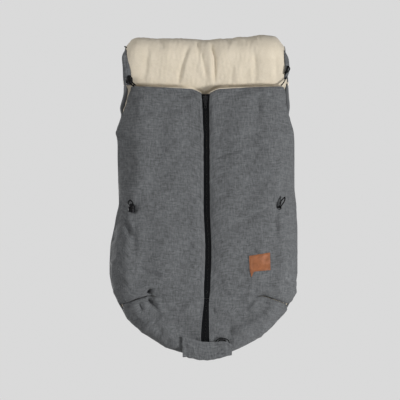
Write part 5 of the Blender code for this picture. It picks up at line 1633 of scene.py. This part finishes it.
def build_side_seam(cloth):
    """Bound seam that joins the back to the front and the foot pocket, with the free back edge."""
    path = outline_path()
    loops = []
    last = len(path) - 1
    for index, ((x, z), (tx, tz)) in enumerate(zip(path, unit(np.gradient(path, axis=0)))):
        away = Vector((tz, 0.0, -tx))
        free = float(smooth((z - SEAM_FREE_LOW_Z) / SEAM_FREE_RUN))
        narrow = 0.6 * float(smooth((z - SEAM_FREE_HIGH_Z) / SEAM_FREE_RUN))
        size = float(smooth((min(index, last - index) + 1.0) / 3.0))
        inner = (SEAM_INNER + SEAM_FREE_REACH * free * (1.0 - narrow)) * size
        outer = (SEAM_OUTER + ripple(index, SEAM_RIPPLES)) * size + SEAM_LEAST
        middle = Vector((x, SEAM_MIDDLE_Y, z)) - away * SEAM_INSET
        front = SEAM_FRONT + SEAM_FREE_FRONT * free
        loops.append(edge_loop(middle, away, AHEAD, inner, outer, front, SEAM_REAR))
    seam = swept_loops("side_seam", loops, cloth, smooth_angle=70.0)
    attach(seam, "bag")


def build_hood_edge(cloth):
    """Narrow bound edge up both sides of the hood, over the rail and round its tail."""
    base, out, left, _, run = back_sheet()
    start = int(np.argmin(np.abs(run[:, 0] - HOOD_EDGE_Z)))
    middle = base + out * ((LAYERS + left) / 2.0)[:, :, None]
    path, front = (np.concatenate([grid[start:, 0], grid[-1, 1:-1], grid[start:, -1][::-1]])
                   for grid in (middle, out))
    keep = np.linalg.norm(np.gradient(path, axis=0), axis=1) > HOOD_EDGE_STEP
    path, front = path[keep], front[keep]
    loops = []
    for index, (place, ahead, along) in enumerate(zip(path, front, unit(np.gradient(path, axis=0)))):
        away = Vector(np.cross(along, ahead)).normalized()
        inwards = away.x * place[0] < 0.0 if abs(place[0]) > HOOD_EDGE_SIDE_X else away.z > 0.0
        outer = HOOD_EDGE_OUTER + ripple(index, HOOD_EDGE_RIPPLES)
        loops.append(edge_loop(Vector(place), -away if inwards else away, Vector(ahead),
                               HOOD_EDGE_INNER, outer, HOOD_EDGE_HALF, HOOD_EDGE_HALF, 12))
    edge = swept_loops("hood_edge", loops, cloth, smooth_angle=70.0)
    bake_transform(edge)


# Cord casings of the hood

CASING_LEFT = (
    (0.04, -0.203, -0.1992), (0.03, -0.206, -0.1985), (0.014, -0.2118, -0.1975), (0.0, -0.2128, -0.1962),
    (-0.022, -0.2102, -0.1912), (-0.044, -0.2095, -0.188), (-0.058, -0.2085, -0.1868),
    (-0.068, -0.2065, -0.188),
)
CASING_RIGHT = (
    (0.04, 0.1975, 0.1995), (0.02, 0.199, 0.2062), (0.0, 0.2006, 0.2128), (-0.025, 0.2016, 0.2146),
    (-0.04, 0.201, 0.2125), (-0.053, 0.1995, 0.205),
)


CASINGS = (("left", CASING_LEFT, 0.0052, 16), ("right", CASING_RIGHT, 0.005, 2))
CASING_ROWS = 60
CASING_COLUMNS = 19
CASING_LIFT = 0.0006
CASING_SKIN = 0.0002
CASING_LEAST = 0.0012
CASING_FULL_WIDTH = 0.018
CASING_FOLD = 0.0007
CASING_WAVES = ((0.0006, 0.018, 71, 1.0, 1.0),)
CASING_BEYOND_X = 0.197
CASING_BEYOND_RUN = 0.006
CASING_SUNK = 0.0008
CASING_SUNK_BEYOND = 0.0046


def build_casings(cloth, seam_thread):
    """Rolled cloth casings of the elastic down both side edges of the hood."""
    lines = []
    for label, table, proud, column in CASINGS:
        run = np.linspace(table[0][0], table[-1][0], CASING_ROWS)[:, None]
        first, last = table_value(table, 1, run), table_value(table, 2, run)
        share = (1.0 - np.cos(np.linspace(0.0, math.pi, CASING_COLUMNS))) / 2.0
        x = first + (last - first) * share
        points = hood_point(x, run, CASING_LIFT)
        ends = smooth(from_ends(CASING_ROWS) / 4.0 + 0.1)[:, None]
        round_rise = np.sqrt(np.maximum(1.0 - (2.0 * share - 1.0) ** 2, 0.0))
        height = proud * smooth((last - first) / CASING_FULL_WIDTH) + CASING_LEAST
        folds = CASING_FOLD * np.sin(share * 9.0 + run * 60.0) + swells(x, run + 0.0 * x, CASING_WAVES)
        rise = (height + folds) * round_rise * ends + CASING_SKIN
        beyond = smooth((np.abs(x) - CASING_BEYOND_X) / CASING_BEYOND_RUN)
        sunk = (CASING_SUNK + CASING_SUNK_BEYOND * beyond * round_rise) * ends
        casing, outer, normals = padded_sheet("casing_cloth_" + label, points, rise, sunk, cloth)
        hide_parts("hood_casing_" + label)
        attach(casing, "bag")
        lines += seam_lines(outer, normals, [(slice(4, -3), column)])
    sew("casing_stitches", lines, seam_thread)


# Leather patch

PATCH_LEFT = ((0.1118, -0.5019), (0.1119, -0.515), (0.1128, -0.536), (0.1172, -0.556))
PATCH_TOP = ((0.1118, -0.5019), (0.138, -0.4978), (0.1643, -0.493))
PATCH_RIGHT = ((0.1643, -0.493), (0.165, -0.515), (0.1656, -0.5378))
PATCH_LOW = ((0.1172, -0.556), (0.1236, -0.5418), (0.145, -0.5396), (0.1656, -0.5378))
PATCH_STEPS = 34
PATCH_THICK = 0.0014
PATCH_LIFT = 0.0003
PATCH_SUNK = 0.001
PATCH_BORDER = ((0.0004, 0.005, 0.002), (-0.0003, 0.003, 0.0006))
PATCH_LEFT_RISE = 0.0006
PATCH_LEFT_REACH = 0.006
LABEL_STITCH_LIFT = 0.0002


def line_value(line, share):
    """Place along a line of points at an even share of its length."""
    line = np.array(line)
    run = run_along(line)
    return read_along(line, run, share * run[-1])


def build_patch(tree, material, seam_thread):
    """Bare leather label sewn on the right, its lower left corner drawn down."""
    share = np.linspace(0.0, 1.0, PATCH_STEPS)
    down, across = share[:, None, None], share[None, :, None]
    left, right = line_value(PATCH_LEFT, share)[:, None], line_value(PATCH_RIGHT, share)[:, None]
    top, low = line_value(PATCH_TOP, share), line_value(PATCH_LOW, share)
    flat = left * (1 - across) + right * across + top * (1 - down) + low * down
    flat = flat - ((top[0] * (1 - across) + top[-1] * across) * (1 - down)
                   + (low[0] * (1 - across) + low[-1] * across) * down)
    points = np.array([[on_front(tree, x, z, PATCH_LIFT) for x, z in row] for row in flat])
    points[:, :, 1] = softened(points, 6)[:, :, 1]
    run_x = run_lengths(points, 1)
    to_edge = np.minimum(to_either_end(run_x, 1), to_either_end(run_lengths(points, 0), 0))
    rise = PATCH_THICK * (0.45 + 0.55 * smooth(to_edge / PATCH_THICK))
    rise = rise + sum(height * bell(to_edge - start, reach) for height, start, reach in PATCH_BORDER)
    rise = rise + PATCH_LEFT_RISE * smooth(1.0 - run_x / PATCH_LEFT_REACH)
    sunk = np.full_like(rise, PATCH_SUNK)
    patch, outer, normals = padded_sheet("leather_label", points, rise, sunk, material)
    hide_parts("leather_patch")
    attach(patch, "bag")
    inside = slice(2, -2)
    ways = ((2, inside), (inside, -3), (-3, inside), (inside, 2))
    lines = seam_lines(outer, normals, ways, LABEL_STITCH_LIFT)
    sew("label_stitches", lines, seam_thread)


# Harness slots and anti-slip pad

SLOT_CORNER = 0.0035
BINDING_FRONT = (
    (0.0052, 0.0002), (0.0044, -0.0016), (0.0016, -0.0022), (-0.0006, -0.0012), (-0.001, 0.002),
)
BINDING_REAR = (
    (-0.001, -0.002), (-0.0006, 0.001), (0.0016, 0.0018), (0.0044, 0.0013), (0.0052, -0.0002),
)
BINDING_STITCH = 0.0036
BINDING_STITCH_FRONT = 0.0021
BINDING_STITCH_REAR = 0.0017
DOT_RADIUS = 0.0026
DOT_HEIGHT = 0.0011
DOT_SINK = 0.0001
DOT_SIDES = 12
DOT_RINGS = ((1.0, 0.0), (0.92, 0.45), (0.7, 0.8), (0.36, 0.97))
PAD_STITCH_INSET = 0.004
PAD_STITCH_CORNER = 0.003
PAD_STITCH_LIFT = 0.0002


def rounded_ring(left, right, low, high, corner, steps=6):
    """Places and outward directions round a rectangle with rounded corners."""
    ring = []
    corners = ((right - corner, high - corner, 0.0), (left + corner, high - corner, 0.5),
               (left + corner, low + corner, 1.0), (right - corner, low + corner, 1.5))
    for x, z, turn in corners:
        for step in range(steps + 1):
            angle = math.pi * (turn + step / steps / 2.0)
            away = Vector((math.cos(angle), 0.0, math.sin(angle)))
            ring.append((Vector((x, 0.0, z)) + away * corner, away))
    return ring


def ring_line(ring, beyond, y, out):
    """Closed line of stitching round a ring, so far beyond it and at the given depth."""
    path = [place + away * beyond + BEHIND * y for place, away in ring]
    return path + path[:1], [out] * (len(path) + 1)


def build_bindings(cloth, seam_thread):
    """Bound edges of the harness slots, on the fleece and on the rear face."""
    lines = []
    front, rear = -SHELL_FACE - LAYERS - BACK_WADDING, -SHELL_FACE
    profile = [(out, front + y) for out, y in BINDING_FRONT]
    profile += [(out, rear + y) for out, y in BINDING_REAR]
    for name, left, right, low, high in SLOTS:
        ring = rounded_ring(left, right, low, high, SLOT_CORNER)
        loops = [[place + away * out + BEHIND * y for out, y in profile] for place, away in ring]
        binding = swept_loops(name, loops, cloth, True, 70.0)
        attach(binding, "bag")
        lines.append(ring_line(ring, BINDING_STITCH, front - BINDING_STITCH_FRONT, AHEAD))
        lines.append(ring_line(ring, BINDING_STITCH, rear + BINDING_STITCH_REAR, BEHIND))
    sew("slot_stitches", lines, seam_thread)


def build_pad_dots(rubber, seam_thread, pitch):
    """Raised rubber dots over the anti-slip pad, with the pad's sewn border."""
    low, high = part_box("anti_slip_pad")
    margin = pitch * 0.9
    across = int((high.x - low.x - 2 * margin) / pitch)
    down = int((high.z - low.z - 2 * margin) / pitch)
    middle = (low + high) / 2
    ground = high.y - DOT_SINK
    vertices, faces = [], []
    for row in range(down + 1):
        for column in range(across + 1 - row % 2):
            x = middle.x + (column - (across - row % 2) / 2) * pitch
            z = middle.z + (row - down / 2) * pitch
            skin = tube_faces(len(vertices), len(DOT_RINGS), DOT_SIDES)
            for width, height in DOT_RINGS:
                vertices += [(x + DOT_RADIUS * width * math.cos(turn), ground + DOT_HEIGHT * height,
                              z + DOT_RADIUS * width * math.sin(turn)) for turn in full_turn(DOT_SIDES)]
            top = skin.pop()
            faces += skin + [(a, b, len(vertices)) for a, b in zip(top, top[1:] + top[:1])]
            vertices.append((x, ground + DOT_HEIGHT, z))
    dots = solid_mesh("pad_dots", vertices, faces, rubber, 60.0)
    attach(dots, "bag")
    inset = PAD_STITCH_INSET
    ring = rounded_ring(low.x + inset, high.x - inset, low.z + inset, high.z - inset, PAD_STITCH_CORNER)
    line = ring_line(ring, 0.0, high.y + PAD_STITCH_LIFT, BEHIND)
    sew("pad_stitches", [line], seam_thread)


# Elastics and the lower slider's cord

ELASTIC_RADIUS = 0.0015
LOWER_CORD_RADIUS = 0.0012
STRAND = ELASTIC_RADIUS + 0.00015
LOOP_NECK = 0.22
LOOP_SHOULDER = 0.62
ELASTICS = (
    ("waist_elastic_left", (-0.18323, -0.0996, -0.37976), -1.0, 0.0286, (-0.003, 0.02, 3.4)),
    ("waist_elastic_right", (0.1843, -0.0994, -0.3788), -1.0, 0.0054, (0.013, 0.026, 2.4)),
    ("hood_elastic_left", (-0.192, -0.0523, -0.056), -1.0, 0.0274, (0.012, -0.018, 2.4)),
    ("hood_elastic_right", (0.188, -0.0318, -0.056), 1.0, 0.0274, (0.01, -0.02, 2.4)),
)
HOOD_STRANDS = (
    ("hood_strand_left", ((-0.199, -0.05, 0.006), (-0.188, -0.059, 0.0085), (-0.179, -0.0668, 0.0085),
     (-0.1745, -0.073, 0.006))),
    ("hood_stub_left", ((-0.199, 0.012, -0.001), (-0.1995, 0.033, -0.0005), (-0.201, 0.044, 0.002),
     (-0.2045, 0.0475, 0.0045), (-0.2064, 0.0515, 0.003))),
    ("hood_strand_right", ((0.207, -0.044, 0.002), (0.199, -0.061, 0.007), (0.1925, -0.069, 0.008),
     (0.1885, -0.0745, 0.006))),
    ("hood_loop_right", ((0.2015, -0.037, 0.006), (0.206, -0.03, 0.008), (0.2078, -0.0225, 0.0085),
     (0.2115, -0.021, 0.0085), (0.214, -0.0265, 0.0085), (0.2115, -0.033, 0.0085),
     (0.206, -0.0365, 0.0075), (0.201, -0.04, 0.005))),
)
LOWER_CORD_ROUTE = (
    (-0.0025, 0.0), (0.0, 0.0), (0.01, 0.001), (0.019, 0.006), (0.0255, 0.0165), (0.031, 0.0235),
    (0.039, 0.0262), (0.049, 0.0258), (0.0565, 0.0215), (0.0595, 0.015), (0.057, 0.0125), (0.0525, 0.017),
    (0.046, 0.0215), (0.038, 0.0222), (0.0325, 0.0185), (0.0275, 0.01), (0.02, -0.001), (0.012, -0.006),
    (0.0, -0.0073), (-0.0034, -0.0055), (-0.0034, -0.0027),
)
LOWER_SLIDER_AT = Vector((0.0, -0.09138, -0.729))
LOWER_SLIDER_UP = Vector((0.0, -0.21359, 0.97692))
LOWER_SLIDER_IN = Vector((0.0, 0.97692, 0.21359))
LOWER_CORD_DEPTH = -0.0024
LOWER_CORD_PROUD = 0.0036
LOWER_CORD_RETURN_X = 0.015


def loop_points(start, out, reach, loop):
    """Two strands out of an eyelet and the loop that joins them: its lean, rise and spread."""
    lean, rise, spread = loop
    side = Vector((STRAND, 0.0, 0.0))
    up = Vector((lean, 0.0, rise))
    bend = start + out * (reach + ELASTIC_RADIUS * 3)
    neck, shoulder = bend + up * LOOP_NECK, bend + up * LOOP_SHOULDER
    left, right = ([start + edge, start + edge + out * reach / 2, start + edge + out * reach,
                    neck + edge * spread / 2, shoulder + edge * spread] for edge in (-side, side))
    return left + [bend + up] + right[::-1]


def build_cord(name, node, points, radius, material, body):
    """One cord along its points, in place of its solid if it has one."""
    path = smooth_path(points, 8)
    piece = cord_curve(name, path, radius, material)
    if node:
        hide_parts(node)
    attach(piece, body)


def build_elastics(material):
    for node, start, outward, reach, loop in ELASTICS:
        points = loop_points(Vector(start), BEHIND * outward, reach, loop)
        build_cord(node.replace("elastic", "drawcord"), node, points, ELASTIC_RADIUS, material, "bag")
    for name, places in HOOD_STRANDS:
        points = [Vector(point) for point in hood_point(*np.array(places).T)]
        build_cord(name, None, points, ELASTIC_RADIUS, material, "bag")


def build_lower_cord(material):
    """Cord pull of the lower slider, over the flap's top edge."""
    points = []
    for x, up in LOWER_CORD_ROUTE:
        proud = LOWER_CORD_PROUD * float(smooth(np.array(x / LOWER_CORD_RETURN_X - 1.0)))
        points.append(LOWER_SLIDER_AT + Vector((x, 0.0, 0.0)) + LOWER_SLIDER_UP * up
                      + LOWER_SLIDER_IN * (LOWER_CORD_DEPTH - proud))
    build_cord("foot_zip_cord", "lower_cord_pull", points, LOWER_CORD_RADIUS, material,
               "lower_slider")


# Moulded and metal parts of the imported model

EDGE_BEVEL = 0.00022
HARDWARE = (
    ("slider_metal", ("upper_slider", "upper_puller", "lower_slider", "zip_bottom_stop")),
    ("eyelet_metal",
     ("waist_eyelet_left", "waist_eyelet_right", "hood_eyelet_left", "hood_eyelet_right")),
    ("lock_plastic",
     ("lock_body_waist", "lock_body_hood_left", "lock_body_hood_right",
      "lock_plunger_waist", "lock_plunger_hood_left", "lock_plunger_hood_right")),
    ("spring_steel", ("lock_spring_waist", "lock_spring_hood_left", "lock_spring_hood_right")),
    ("hook_and_loop", ("flap_loop_patch", "flap_hook_patch")),
    ("pad_rubber", ("anti_slip_pad",)),
)
BEVELLED = (
    "upper_slider", "upper_puller", "lower_slider", "lock_body_waist", "lock_body_hood_left",
    "lock_body_hood_right", "anti_slip_pad",
)


def dress_hardware():
    """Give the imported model's own hard parts their materials, with softened edges."""
    for slot, names in HARDWARE:
        for name in names:
            node = NODES[name]
            node.data.materials.clear()
            node.data.materials.append(surface(slot))
            if name in BEVELLED:
                bevel = node.modifiers.new("softened_edges", "BEVEL")
                bevel.width = EDGE_BEVEL
                bevel.segments = 2
                bevel.limit_method = "ANGLE"
                bevel.angle_limit = math.radians(35.0)


# Stage

FLOOR_Z = -1.75
FLOOR_RADIUS = 2.2
LIGHTS = (
    ("key_light", (2.4, -1.9, -0.85), (0.0, 0.0, -0.35), 0.6, 0.97),
    ("fill_light", (-2.3, -1.9, 0.35), (0.0, 0.0, -0.3), 1.6, 0.38),
    ("top_light", (-0.5, -0.9, 2.3), (0.0, 0.0, 0.0), 1.2, 0.12),
    ("rear_light", (-0.9, 2.7, -0.1), (0.0, 0.0, -0.35), 1.6, 1.1),
)


def build_world(settings):
    """Pale surroundings for the camera and for rays that pass through, with a softer light on the cloth.
    """
    world = bpy.data.worlds.new("studio")
    bpy.context.scene.world = world
    world.use_nodes = True
    tree = world.node_tree
    tree.nodes.clear()
    path = put(tree, "LightPath").outputs
    mix = put(tree, "MixShader", {
        "Fac": maths(tree, "MAXIMUM", path["Is Camera Ray"], path["Is Transmission Ray"])})
    for at, grey in ((1, settings.surround), (2, settings.background)):
        ground = put(tree, "Background", {"Color": (grey, grey, grey, 1.0)})
        tree.links.new(ground.outputs["Background"], mix.inputs[at])
    put(tree, "OutputWorld", {"Surface": mix.outputs["Shader"]})


def build_lights(settings):
    """Soft area lights: the main one on the right, weaker ones on the left and above, one behind."""
    lamps = []
    for name, place, at, size, share in LIGHTS:
        light = bpy.data.lights.new(name, "AREA")
        light.size = size
        light.energy = settings.light_power * share
        lamp = bpy.data.objects.new(name, light)
        lamp.location = place
        lamp.rotation_euler = (Vector(at) - Vector(place)).to_track_quat("-Z", "Y").to_euler()
        bpy.context.scene.collection.objects.link(lamp)
        lamps.append(lamp)
    return lamps


def build_floor():
    surface, _ = start_material("studio_floor", roughness=0.8, colour=(0.42, 0.42, 0.42, 1.0))
    mesh = bpy.data.meshes.new("studio_floor")
    build = bmesh.new()
    bmesh.ops.create_circle(build, cap_ends=True, radius=FLOOR_RADIUS, segments=96)
    build.to_mesh(mesh)
    build.free()
    floor = keep_object("studio_floor", mesh, surface)
    floor.location = (0.0, 0.0, FLOOR_Z)
    return floor


def build_camera():
    """Camera straight ahead, at the photograph's height, with the photograph's width of view."""
    camera = bpy.data.objects.new("camera", bpy.data.cameras.new("camera"))
    bpy.context.scene.collection.objects.link(camera)
    camera.location = (CAMERA_X, -SEAM_Y - CAMERA_AWAY, CAMERA_Z)
    camera.rotation_euler = (math.pi / 2.0, 0.0, 0.0)
    camera.data.sensor_width = SENSOR
    camera.data.lens = SENSOR * CAMERA_AWAY / VIEW_WIDTH
    bpy.context.scene.camera = camera
    return camera


def build_stage(settings):
    build_world(settings)
    for piece in [*build_lights(settings), build_floor(), build_camera()]:
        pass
    view = bpy.context.scene.view_settings
    view.view_transform = "Standard"
    view.look = "None"


# Settings

def colour_setting(name, description, default):
    return FloatVectorProperty(name=name, description=description, default=default,
                               subtype="COLOR", size=3, min=0.0, max=1.0)


class FootmuffClothSettings(bpy.types.PropertyGroup):
    shell_colour: colour_setting(
        "Shell Colour", "Mean colour of the melange shell cloth", (0.13, 0.135, 0.14))
    fleece_colour: colour_setting(
        "Fleece Colour", "Colour of the fleece lining", (0.74, 0.66, 0.53))
    crown: FloatProperty(
        name="Crown", description="How far each front half swells ahead of its seams",
        default=0.003, min=0.0, max=0.01, unit="LENGTH", subtype="DISTANCE")
    slack: FloatProperty(
        name="Slack", description="Share of cloth that is longer than the run between its seams",
        default=0.022, min=0.0, max=0.1, subtype="FACTOR")
    filling_pressure: FloatProperty(
        name="Filling Pressure", description="Pressure of the filling in the cloth simulation",
        default=2.2, min=0.0, max=10.0, subtype="UNSIGNED")
    crease_share: FloatProperty(
        name="Creases", description="Depth of the creases, as a share of their tables",
        default=1.8, min=0.0, max=2.5, subtype="FACTOR")


class FootmuffZipSettings(bpy.types.PropertyGroup):
    tape_colour: colour_setting("Tape Colour", "Colour of the woven zip tape", (0.0055, 0.006, 0.007))
    teeth_colour: colour_setting("Teeth Colour", "Colour of the moulded teeth", (0.006, 0.0065, 0.007))
    metal_colour: colour_setting("Slider Colour", "Colour of the plated sliders", (0.09, 0.09, 0.095))
    tooth_pitch: FloatProperty(
        name="Tooth Pitch", description="Distance between two teeth of one side",
        default=0.0032, min=0.003, max=0.006, unit="LENGTH", subtype="DISTANCE")


class FootmuffTrimSettings(bpy.types.PropertyGroup):
    thread_colour: colour_setting("Thread Colour", "Colour of the sewing thread", (0.075, 0.078, 0.082))
    leather_colour: colour_setting("Leather Colour", "Colour of the sewn label", (0.36, 0.13, 0.05))
    elastic_colour: colour_setting("Elastic Colour", "Colour of the cords", (0.006, 0.006, 0.006))
    lock_colour: colour_setting("Lock Colour", "Colour of the cord locks", (0.006, 0.006, 0.007))
    eyelet_colour: colour_setting("Eyelet Colour", "Colour of the plated eyelets", (0.05, 0.05, 0.053))
    dot_pitch: FloatProperty(
        name="Dot Pitch", description="Distance between the dots of the anti-slip pad",
        default=0.01, min=0.007, max=0.03, unit="LENGTH", subtype="DISTANCE")


class FootmuffStageSettings(bpy.types.PropertyGroup):
    background: FloatProperty(
        name="Background", description="Brightness of the surroundings that the camera sees",
        default=0.7, min=0.0, max=1.0, subtype="FACTOR")
    surround: FloatProperty(
        name="Surround", description="Brightness of the light from all around",
        default=0.1, min=0.0, max=1.0, subtype="FACTOR")
    light_power: FloatProperty(
        name="Light Power", description="Power of the main light",
        default=85.0, min=0.0, max=500.0, unit="POWER", subtype="UNSIGNED")


# Materials by the record's slot names

def surface(slot):
    """The material of a slot, made from the settings when it is first asked for."""
    found = bpy.data.materials.get("footmuff_" + slot)
    if found:
        return found
    scene = bpy.context.scene
    cloth, fastener, trim = scene.footmuff_cloth, scene.footmuff_zip, scene.footmuff_trim
    maker, *values = {
        "shell_cloth": (melange_cloth, cloth.shell_colour),
        "fleece": (fleece_pile, cloth.fleece_colour),
        "zip_tape": (woven_tape, fastener.tape_colour),
        "zip_teeth": (moulded_plastic, fastener.teeth_colour, 0.6, 0.12),
        "slider_metal": (plated_metal, fastener.metal_colour, 0.3),
        "eyelet_metal": (plated_metal, trim.eyelet_colour, 0.32),
        "spring_steel": (plated_metal, (0.5, 0.5, 0.5), 0.25),
        "lock_plastic": (moulded_plastic, trim.lock_colour, 0.45, 0.12),
        "elastic": (braided_elastic, trim.elastic_colour),
        "leather": (tan_leather, trim.leather_colour),
        "hook_and_loop": (hook_tape, (0.02, 0.02, 0.021)),
        "pad_rubber": (dotted_rubber, (0.03, 0.03, 0.032)),
        "seam_thread": (thread, trim.thread_colour),
        "label_thread": (thread, scaled_colour(trim.leather_colour, 0.8)),
    }[slot]
    return maker("footmuff_" + slot, *values)


# Operators

class FOOTMUFF_OT_fronts(bpy.types.Operator):
    """Build both padded halves of the front with their fleece and topstitching"""
    bl_idname = "footmuff.fronts"
    bl_label = "Front Halves"

    def execute(self, context):
        settings = context.scene.footmuff_cloth
        for side, label in SIDES:
            outer = build_front(side, label, surface("shell_cloth"), surface("fleece"), settings)
            sew_front(side, label, outer, surface("seam_thread"))
        return {"FINISHED"}


class FOOTMUFF_OT_foot_pocket(bpy.types.Operator):
    """Build the padded foot pocket with its fleece and topstitching"""
    bl_idname = "footmuff.foot_pocket"
    bl_label = "Foot Pocket"

    def execute(self, context):
        build_foot(surface("shell_cloth"), surface("fleece"), surface("seam_thread"),
                   context.scene.footmuff_cloth)
        return {"FINISHED"}


class FOOTMUFF_OT_back(bpy.types.Operator):
    """Build the back with the hood that folds over the rail"""
    bl_idname = "footmuff.back"
    bl_label = "Back and Hood"

    def execute(self, context):
        build_back(surface("shell_cloth"), surface("fleece"))
        return {"FINISHED"}


class FOOTMUFF_OT_edges(bpy.types.Operator):
    """Build the bound side seam and the hood's bound edge"""
    bl_idname = "footmuff.edges"
    bl_label = "Bound Edges"

    def execute(self, context):
        build_side_seam(surface("shell_cloth"))
        build_hood_edge(surface("shell_cloth"))
        return {"FINISHED"}


class FOOTMUFF_OT_casings(bpy.types.Operator):
    """Build the elastic's casings on the hood's side edges"""
    bl_idname = "footmuff.casings"
    bl_label = "Hood Casings"

    def execute(self, context):
        build_casings(surface("shell_cloth"), surface("seam_thread"))
        return {"FINISHED"}


class FOOTMUFF_OT_bindings(bpy.types.Operator):
    """Build the bound edges of the harness slots"""
    bl_idname = "footmuff.bindings"
    bl_label = "Slot Bindings"

    def execute(self, context):
        build_bindings(surface("shell_cloth"), surface("seam_thread"))
        return {"FINISHED"}


class FOOTMUFF_OT_pad(bpy.types.Operator):
    """Build the dots and the sewing of the anti-slip pad"""
    bl_idname = "footmuff.pad"
    bl_label = "Anti-slip Pad"

    def execute(self, context):
        build_pad_dots(surface("pad_rubber"), surface("seam_thread"),
                       context.scene.footmuff_trim.dot_pitch)
        return {"FINISHED"}


class FOOTMUFF_OT_zip(bpy.types.Operator):
    """Build the zip's tapes and teeth"""
    bl_idname = "footmuff.zip"
    bl_label = "Zip"

    def execute(self, context):
        build_zip(surface("zip_tape"), surface("zip_teeth"), context.scene.footmuff_zip.tooth_pitch)
        return {"FINISHED"}


class FOOTMUFF_OT_flap(bpy.types.Operator):
    """Build the padded flap over the zip's lower end"""
    bl_idname = "footmuff.flap"
    bl_label = "Foot Flap"

    def execute(self, context):
        build_flap(surface("shell_cloth"), surface("seam_thread"))
        return {"FINISHED"}


class FOOTMUFF_OT_label(bpy.types.Operator):
    """Build the bare leather label on the right half of the front"""
    bl_idname = "footmuff.label"
    bl_label = "Leather Label"

    def execute(self, context):
        panel = bpy.data.objects.get("front_panel_right")
        if panel is None:
            raise RuntimeError("build the front halves before the label")
        build_patch(surface_under(panel), surface("leather"), surface("label_thread"))
        return {"FINISHED"}


class FOOTMUFF_OT_cords(bpy.types.Operator):
    """Build the waist and hood elastics and the lower slider's cord"""
    bl_idname = "footmuff.cords"
    bl_label = "Cords"

    def execute(self, context):
        build_elastics(surface("elastic"))
        build_lower_cord(surface("elastic"))
        return {"FINISHED"}


class FOOTMUFF_OT_hardware(bpy.types.Operator):
    """Finish the sliders, eyelets, cord locks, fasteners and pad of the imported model"""
    bl_idname = "footmuff.hardware"
    bl_label = "Sliders, Eyelets and Locks"

    def execute(self, context):
        dress_hardware()
        return {"FINISHED"}


class FOOTMUFF_OT_stage(bpy.types.Operator):
    """Set the camera, lights, floor and surroundings"""
    bl_idname = "footmuff.stage"
    bl_label = "Stage"

    def execute(self, context):
        build_stage(context.scene.footmuff_stage)
        return {"FINISHED"}


OPERATORS = (
    FOOTMUFF_OT_fronts, FOOTMUFF_OT_foot_pocket, FOOTMUFF_OT_back, FOOTMUFF_OT_edges,
    FOOTMUFF_OT_casings, FOOTMUFF_OT_bindings, FOOTMUFF_OT_pad, FOOTMUFF_OT_zip,
    FOOTMUFF_OT_flap, FOOTMUFF_OT_label, FOOTMUFF_OT_cords, FOOTMUFF_OT_hardware,
    FOOTMUFF_OT_stage,
)


class FOOTMUFF_PT_panel(bpy.types.Panel):
    """Settings of the footmuff and the buttons that build it, in order"""
    bl_idname = "FOOTMUFF_PT_panel"
    bl_label = "Stroller Footmuff"
    bl_space_type = "VIEW_3D"
    bl_region_type = "UI"
    bl_category = "Footmuff"

    def draw(self, context):
        for name in SETTINGS:
            box = self.layout.box()
            group = getattr(context.scene, name)
            for key in group.__annotations__:
                box.prop(group, key)
        for operator in OPERATORS:
            self.layout.operator(operator.bl_idname)


SETTINGS = {
    "footmuff_cloth": FootmuffClothSettings,
    "footmuff_zip": FootmuffZipSettings,
    "footmuff_trim": FootmuffTrimSettings,
    "footmuff_stage": FootmuffStageSettings,
}


def register():
    for name, group in SETTINGS.items():
        bpy.utils.register_class(group)
        setattr(bpy.types.Scene, name, PointerProperty(type=group))
    for operator in OPERATORS:
        bpy.utils.register_class(operator)
    bpy.utils.register_class(FOOTMUFF_PT_panel)


def unregister():
    bpy.utils.unregister_class(FOOTMUFF_PT_panel)
    for operator in reversed(OPERATORS):
        bpy.utils.unregister_class(operator)
    for name, group in reversed(SETTINGS.items()):
        delattr(bpy.types.Scene, name)
        bpy.utils.unregister_class(group)


def main():
    """Build every piece in order."""
    register()
    for operator in OPERATORS:
        group, name = operator.bl_idname.split(".")
        getattr(getattr(bpy.ops, group), name)()


if __name__ == "__main__":
    main()
